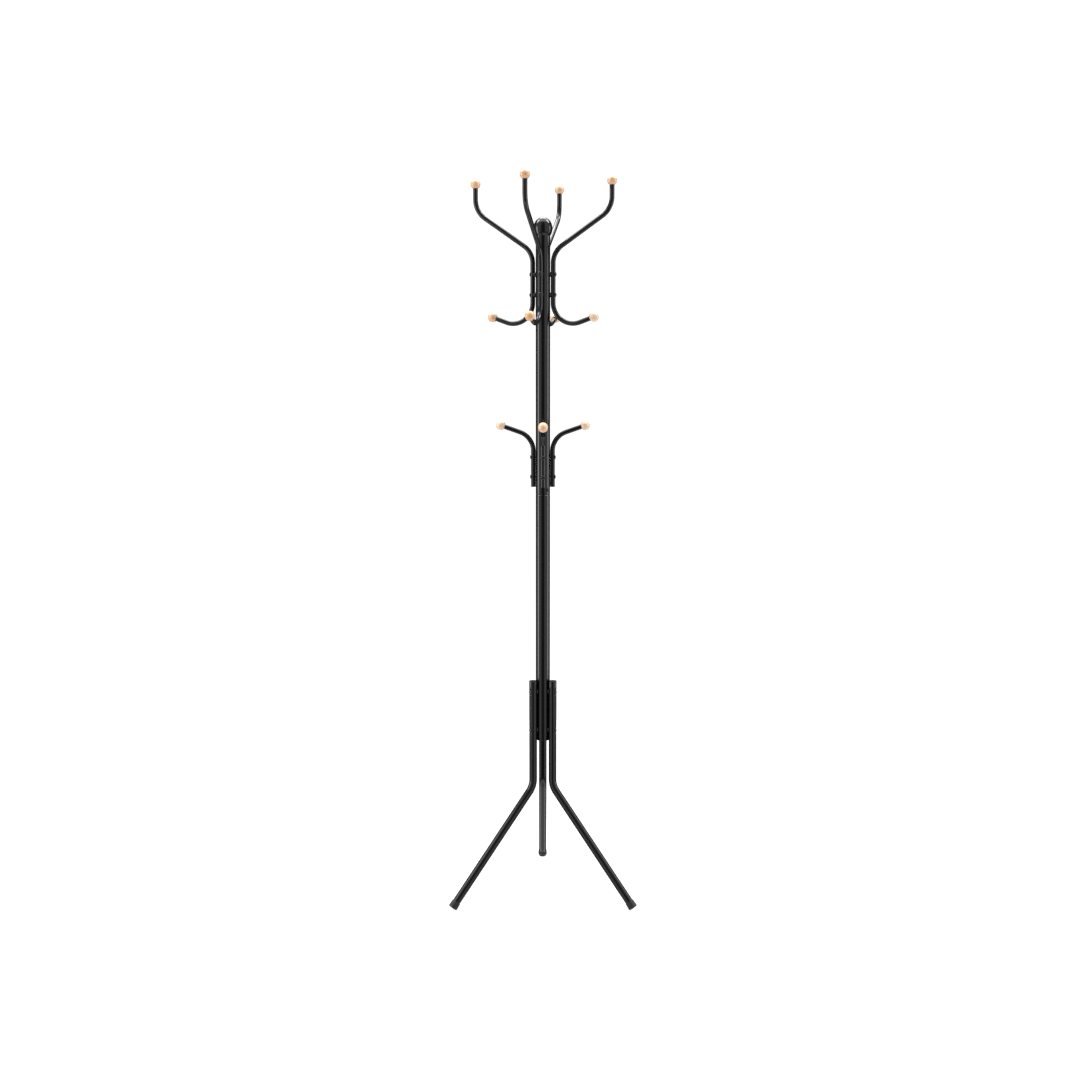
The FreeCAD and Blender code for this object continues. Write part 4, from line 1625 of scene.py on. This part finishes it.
@dataclass
class Legs(Assembly):
    """Three bent tube legs with pressed seats for their bolts, top plugs and rubber feet."""

    bolt: Bolt = field(default_factory=Bolt)
    spacer: Spacer = field(default_factory=Spacer)
    turns: dict[str, float] = field(default_factory=lambda: {
        "leg_rear": 90.0, "leg_front_left": 210.0, "leg_front_right": 330.0})
    radius: float = 0.010
    wall: float = 0.0012
    offset: float = 0.0288
    corner: float = 0.287
    bend: float = 0.050
    splay: float = 39.8
    dimple_radius: float = 0.0086
    dimple_depth: float = 0.0022
    dimple_soft: float = 0.0006
    bolt_hole: float = 0.0032
    columns: int = 96
    hole_columns: int = 16
    plug_rim: float = 0.0016
    plug_spigot: float = 0.010
    spigot_gap: float = 0.00012
    seam: float = 0.00005
    foot_radius: float = 0.0117
    foot_mouth: float = 0.0111
    foot_length: float = 0.019
    foot_floor: float = 0.004
    foot_round: float = 0.002
    foot_dome: float = 0.0008
    foot_flat: float = 0.0012
    foot_lip: float = 0.0005

    def foot_end(self) -> tuple[float, float]:
        """Reach and level of the middle of a foot cap's outer end.

        The lowest point of the cap's rounded heel lies foot_flat under the floor, where it is
        cut off.

        Returns:
            The distance from the pole's axis and the height.
        """
        lean = math.radians(self.splay)
        level = ((self.foot_radius - self.foot_round) * math.sin(lean)
                 - (self.foot_round + self.foot_dome) * math.cos(lean) + self.foot_round - self.foot_flat)
        return self.offset + (self.corner - level) * math.tan(lean), level

    def build(self) -> None:
        """Make the three legs with all that is on them."""
        lean = math.radians(self.splay)
        end_reach, end_level = self.foot_end()
        tube_end = (end_reach - self.foot_floor * math.sin(lean),
                    end_level + self.foot_floor * math.cos(lean))
        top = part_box("leg_rear")[1].z
        line = BentLine((tube_end, (self.offset, self.corner), (self.offset, top)), (self.bend,))
        levels = levels_of("leg_bolts", self.bolt.head)
        distances = [line.distance_to_level(level) for level in levels]
        seat = self.radius - self.dimple_depth
        tube = Tube(line, self.radius, self.wall, self.columns, self.hole_columns,
                    through_holes(distances, self.bolt_hole),
                    tuple(Press(distance, seat, self.dimple_radius) for distance in distances),
                    soft=self.dimple_soft)
        bolts, spacers = [], []
        for node, turn in self.turns.items():
            plug, cap = self.shop.whole(self.top_plug(top), turn), self.shop.whole(self.foot_cap(), turn)
            self.pieces += [
                self.shop.tube(node, tube, turn),
                self.shop.piece(node + "_top_plug", [plug], Slot.GLOSS_PLASTIC),
                self.shop.piece(node + "_foot_cap", [cap], Slot.FOOT_RUBBER),
            ]
            for level in levels:
                spacer = self.spacer.grid(self.radius, self.offset, level)
                bolts.append(self.shop.whole(self.bolt.grid(self.offset + seat, level), turn))
                spacers.append(self.shop.whole(spacer, turn))
        self.pieces += [self.shop.piece("leg_bolts", bolts, Slot.BLACK_BOLT),
                        self.shop.piece("leg_spacers", spacers, Slot.SPACER_PLASTIC)]

    def top_plug(self, edge: float) -> np.ndarray:
        """Plug with a flat rim over the tube's edge and a spigot inside it.

        Args:
            edge: Height of the tube's edge.

        Returns:
            A closed grid.
        """
        spigot = self.radius - self.wall - self.spigot_gap
        profile = filleted([
            (0.0, -self.plug_spigot, 0), (spigot, -self.plug_spigot, 0.0006), (spigot, self.seam, 0),
            (self.radius, self.seam, 0.0001), (self.radius, self.plug_rim, 0.0005), (0.0, self.plug_rim, 0),
        ])
        return stood(turned(profile, self.columns), self.offset, edge)

    def foot_cap(self) -> np.ndarray:
        """Rubber cup on the leg's end, its lowest edge flattened where it meets the floor.

        The outline runs from the middle of its slightly domed end, round the heel and up the
        tapering side to the mouth, and down the bore to its floor.

        Returns:
            A closed grid.
        """
        bore, shoulder = self.radius + self.spigot_gap, self.foot_length - self.foot_lip
        flat = self.foot_radius - self.foot_round
        curve = (flat ** 2 + self.foot_dome ** 2) / (2 * self.foot_dome)
        widest = math.degrees(math.asin(flat / curve))
        end = arc((0, curve), (curve, curve), -90, -90 + widest, 15)
        heel = arc((flat, self.foot_dome + self.foot_round), (self.foot_round, self.foot_round), -90, 0, 11)
        side_height = np.linspace(self.foot_dome + self.foot_round, shoulder, 9)[1:]
        side = np.column_stack((np.interp(side_height, side_height[[0, -1]],
                                          (self.foot_radius, self.foot_mouth)), side_height))
        rest = filleted([
            (self.foot_mouth, shoulder, 0), (self.foot_mouth, self.foot_length, 0.0004),
            (bore, self.foot_length, 0), (bore, self.foot_floor, 0), (0.0, self.foot_floor, 0),
        ])
        profile = np.vstack((end, heel[1:], side, rest[1:]))
        reach, level = self.foot_end()
        grid = stood(turned(profile, 128), reach, level, -self.splay)
        grid[..., 2] = np.maximum(grid[..., 2], 0.0)
        return grid


# ---------------------------------------------------------------- studio


@dataclass(frozen=True)
class SoftBox:
    """Soft box: where it stands, its size and how bright its face is.

    Its bearing is in degrees from straight in front of the rack, positive to the right, its
    distance is the level one from the pole's axis, and its level is the height of its middle.
    """

    name: str
    bearing: float
    distance: float
    level: float
    size: tuple[float, float]
    radiance: float

    def power(self) -> float:
        """Power of a flat lamp: pi * radiance * area."""
        return math.pi * self.radiance * self.size[0] * self.size[1]


@dataclass
class Studio:
    """Pale floor, white surround, soft lights and the camera.

    Lights are radiances, the ceiling's lean and spread are in degrees, and the soft boxes face
    the axis at their own height, or at the aim's if that is lower.
    """

    axis: Vector
    camera_distance: float = 3.595
    camera_height: float = 1.404
    camera_shift: float = -0.0073
    camera_pitch: float = 7.60
    focal: float = 47.8
    floor_radius: float = 1.7
    floor_low: Colour = (0.20, 0.20, 0.20, 1)
    floor_high: Colour = (0.24, 0.24, 0.24, 1)
    floor_glow: float = 0.9
    white_light: float = 1.1
    front_light: float = 0.10
    side_light: float = 0.85
    back_light: float = 0.08
    ground_light: float = 1.2
    ceiling_light: float = 3.3
    ceiling_lean: float = 15.0
    ceiling_spread: float = 43.5
    ceiling_soft: float = 0.015
    wall_shade: float = 0.8
    own_shade: float = 0.5
    aim: float = 1.7
    boxes: tuple[SoftBox, ...] = (
        SoftBox("left_box", -79.0, 2.45, 1.15, (0.74, 2.3), 5.0),
        SoftBox("right_box", 90.5, 2.45, 1.15, (0.74, 2.3), 3.8),
        SoftBox("left_rim", -101.0, 1.5, 3.35, (0.6, 0.95), 13.0),
        SoftBox("right_rim", 101.0, 1.5, 3.35, (0.6, 0.95), 13.0),
        SoftBox("back_rim", 180.0, 0.8, 3.1, (1.0, 0.7), 8.0),
    )

    def build(self) -> None:
        """Make the floor, the lights, the surround and the camera."""
        self.floor()
        self.surround()
        for box in self.boxes:
            self.soft_box(box)
        self.camera()
        bpy.context.scene.view_settings.view_transform = "Standard"

    def floor(self) -> None:
        """Large pale disc that shines a little, so that it stays white to its edge.

        The black paint doesn't mirror it.
        """
        rings = np.array([0.0, 0.5, 1.0, self.floor_radius])
        grid = turned(np.column_stack((rings, np.zeros_like(rings))), 64)
        mesh = bpy.data.meshes.new("floor")
        index = np.arange(grid.shape[0] * grid.shape[1]).reshape(grid.shape[:2])
        cells = np.stack((index[:-1, :-1], index[1:, :-1], index[1:, 1:], index[:-1, 1:]), axis=-1)
        mesh.from_pydata(grid.reshape(-1, 3).tolist(), [], cells.reshape(-1, 4).tolist())
        floor = bpy.data.objects.new("floor", mesh)
        bpy.context.scene.collection.objects.link(floor)
        graph = Graph.named("floor_paper")
        grain = graph.noise(graph.place(), 6, 3)
        mesh.materials.append(graph.surface({
            "Base Color": graph.mix(grain, self.floor_low, self.floor_high),
            "Roughness": 0.9,
            "Specular IOR Level": 0.0,
            "Emission Color": (1, 1, 1, 1),
            "Emission Strength": self.floor_glow,
        }))
        floor.visible_glossy = False

    def surround(self) -> None:
        """White behind everything for the camera; for the lighting, walls under a bright ceiling.

        The walls are darkest straight in front of the rack, lighter at both sides and dim behind
        it: the cosine of a bearing from the front is -y / sqrt(x^2 + y^2).  Downwards they fall
        into shade, and steeply below there is bright ground, dimmed straight down by the rack's
        own shade.  The ceiling is a round bright patch whose middle leans to the back: a
        direction is inside it where its dot product with that middle is more than the cosine
        of the patch's spread.
        """
        world = bpy.data.worlds.new("studio")
        bpy.context.scene.world = world
        graph = Graph(world)
        place = graph.node("ShaderNodeTexCoord", {}, {}).outputs["Generated"]
        axes = graph.node("ShaderNodeSeparateXYZ", {}, {0: place}).outputs
        right, back, up = (Value(graph, axes[i]) for i in range(3))
        down = 0 - up
        facing = (0 - back) / (right * right + back * back + 0.0001).maths("SQRT")
        front, rear = facing.step(0.87, 0.95), (0 - facing).step(0.05, 0.4)
        walls = (self.side_light - (self.side_light - self.front_light) * front
                 - (self.side_light - self.back_light) * rear)
        lean, edge = math.radians(self.ceiling_lean), math.cos(math.radians(self.ceiling_spread))
        patch = (math.sin(lean) * back + math.cos(lean) * up).step(
            edge - self.ceiling_soft, edge + self.ceiling_soft)
        walls = walls * (1 - self.wall_shade * down.step(0.35, 0.6))
        ground = self.ground_light * (1 - self.own_shade * down.step(0.75, 0.97))
        walls = walls + (ground - walls) * down.step(0.56, 0.72)
        radiance = walls + (self.ceiling_light - walls) * patch
        lit = graph.node("ShaderNodeBackground", {}, {"Color": (1, 1, 1, 1), "Strength": radiance})
        white = graph.node("ShaderNodeBackground", {}, {
            "Color": (1, 1, 1, 1), "Strength": self.white_light})
        path = graph.node("ShaderNodeLightPath", {}, {})
        either = graph.node("ShaderNodeMixShader", {}, {
            0: path.outputs["Is Camera Ray"], 1: lit.outputs[0], 2: white.outputs[0]})
        graph.node("ShaderNodeOutputWorld", {}, {"Surface": either.outputs[0]})

    def soft_box(self, box: SoftBox) -> None:
        """Set up one lamp, unseen by the camera itself.

        Args:
            box: What it is like and where it stands.
        """
        light = bpy.data.lights.new(box.name, "AREA")
        light.shape = "RECTANGLE"
        light.size, light.size_y = box.size
        light.energy = box.power()
        lamp = bpy.data.objects.new(box.name, light)
        bpy.context.scene.collection.objects.link(lamp)
        turn = math.radians(box.bearing)
        away = Vector((math.sin(turn), -math.cos(turn), 0)) * box.distance
        lamp.location = self.axis + away + Vector((0, 0, box.level))
        aim = Vector((self.axis.x, self.axis.y, min(box.level, self.aim)))
        lamp.rotation_euler = (aim - lamp.location).to_track_quat("-Z", "Y").to_euler()
        lamp.visible_camera = False

    def camera(self) -> None:
        """Camera at eye height in front of the rack, looking slightly down."""
        data = bpy.data.cameras.new("camera")
        data.sensor_width = 36.0
        data.lens = self.focal
        camera = bpy.data.objects.new("camera", data)
        bpy.context.scene.collection.objects.link(camera)
        camera.location = self.axis + Vector((self.camera_shift, -self.camera_distance, self.camera_height))
        camera.rotation_euler = (math.radians(90 - self.camera_pitch), 0, 0)
        bpy.context.scene.camera = camera


def main() -> None:
    """Load the frame, build every sub-assembly round it, dress the inserts and set up the studio."""
    logging.basicConfig(level=logging.INFO, format="%(message)s")
    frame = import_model()
    low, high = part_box("upper_pole")
    axis = Vector(((low.x + high.x) / 2, (low.y + high.y) / 2, 0))
    joints = {joint["name"]: joint for joint in frame["joints"]}
    shop = Workshop(make_finishes(), frame["nodes"], joints, axis)
    for assembly in (Pole(shop), SnapButton(shop), UpperHooks(shop), LowerHooks(shop), Legs(shop)):
        assembly.build()
        log.info("%s: %d pieces", type(assembly).__name__, len(assembly.pieces))
    for node in ("leg_inserts", "upper_hook_inserts", "lower_hook_inserts"):
        shop.dress_node(node, Slot.ZINC_STEEL)
    Studio(axis).build()


if __name__ == "__main__":
    main()
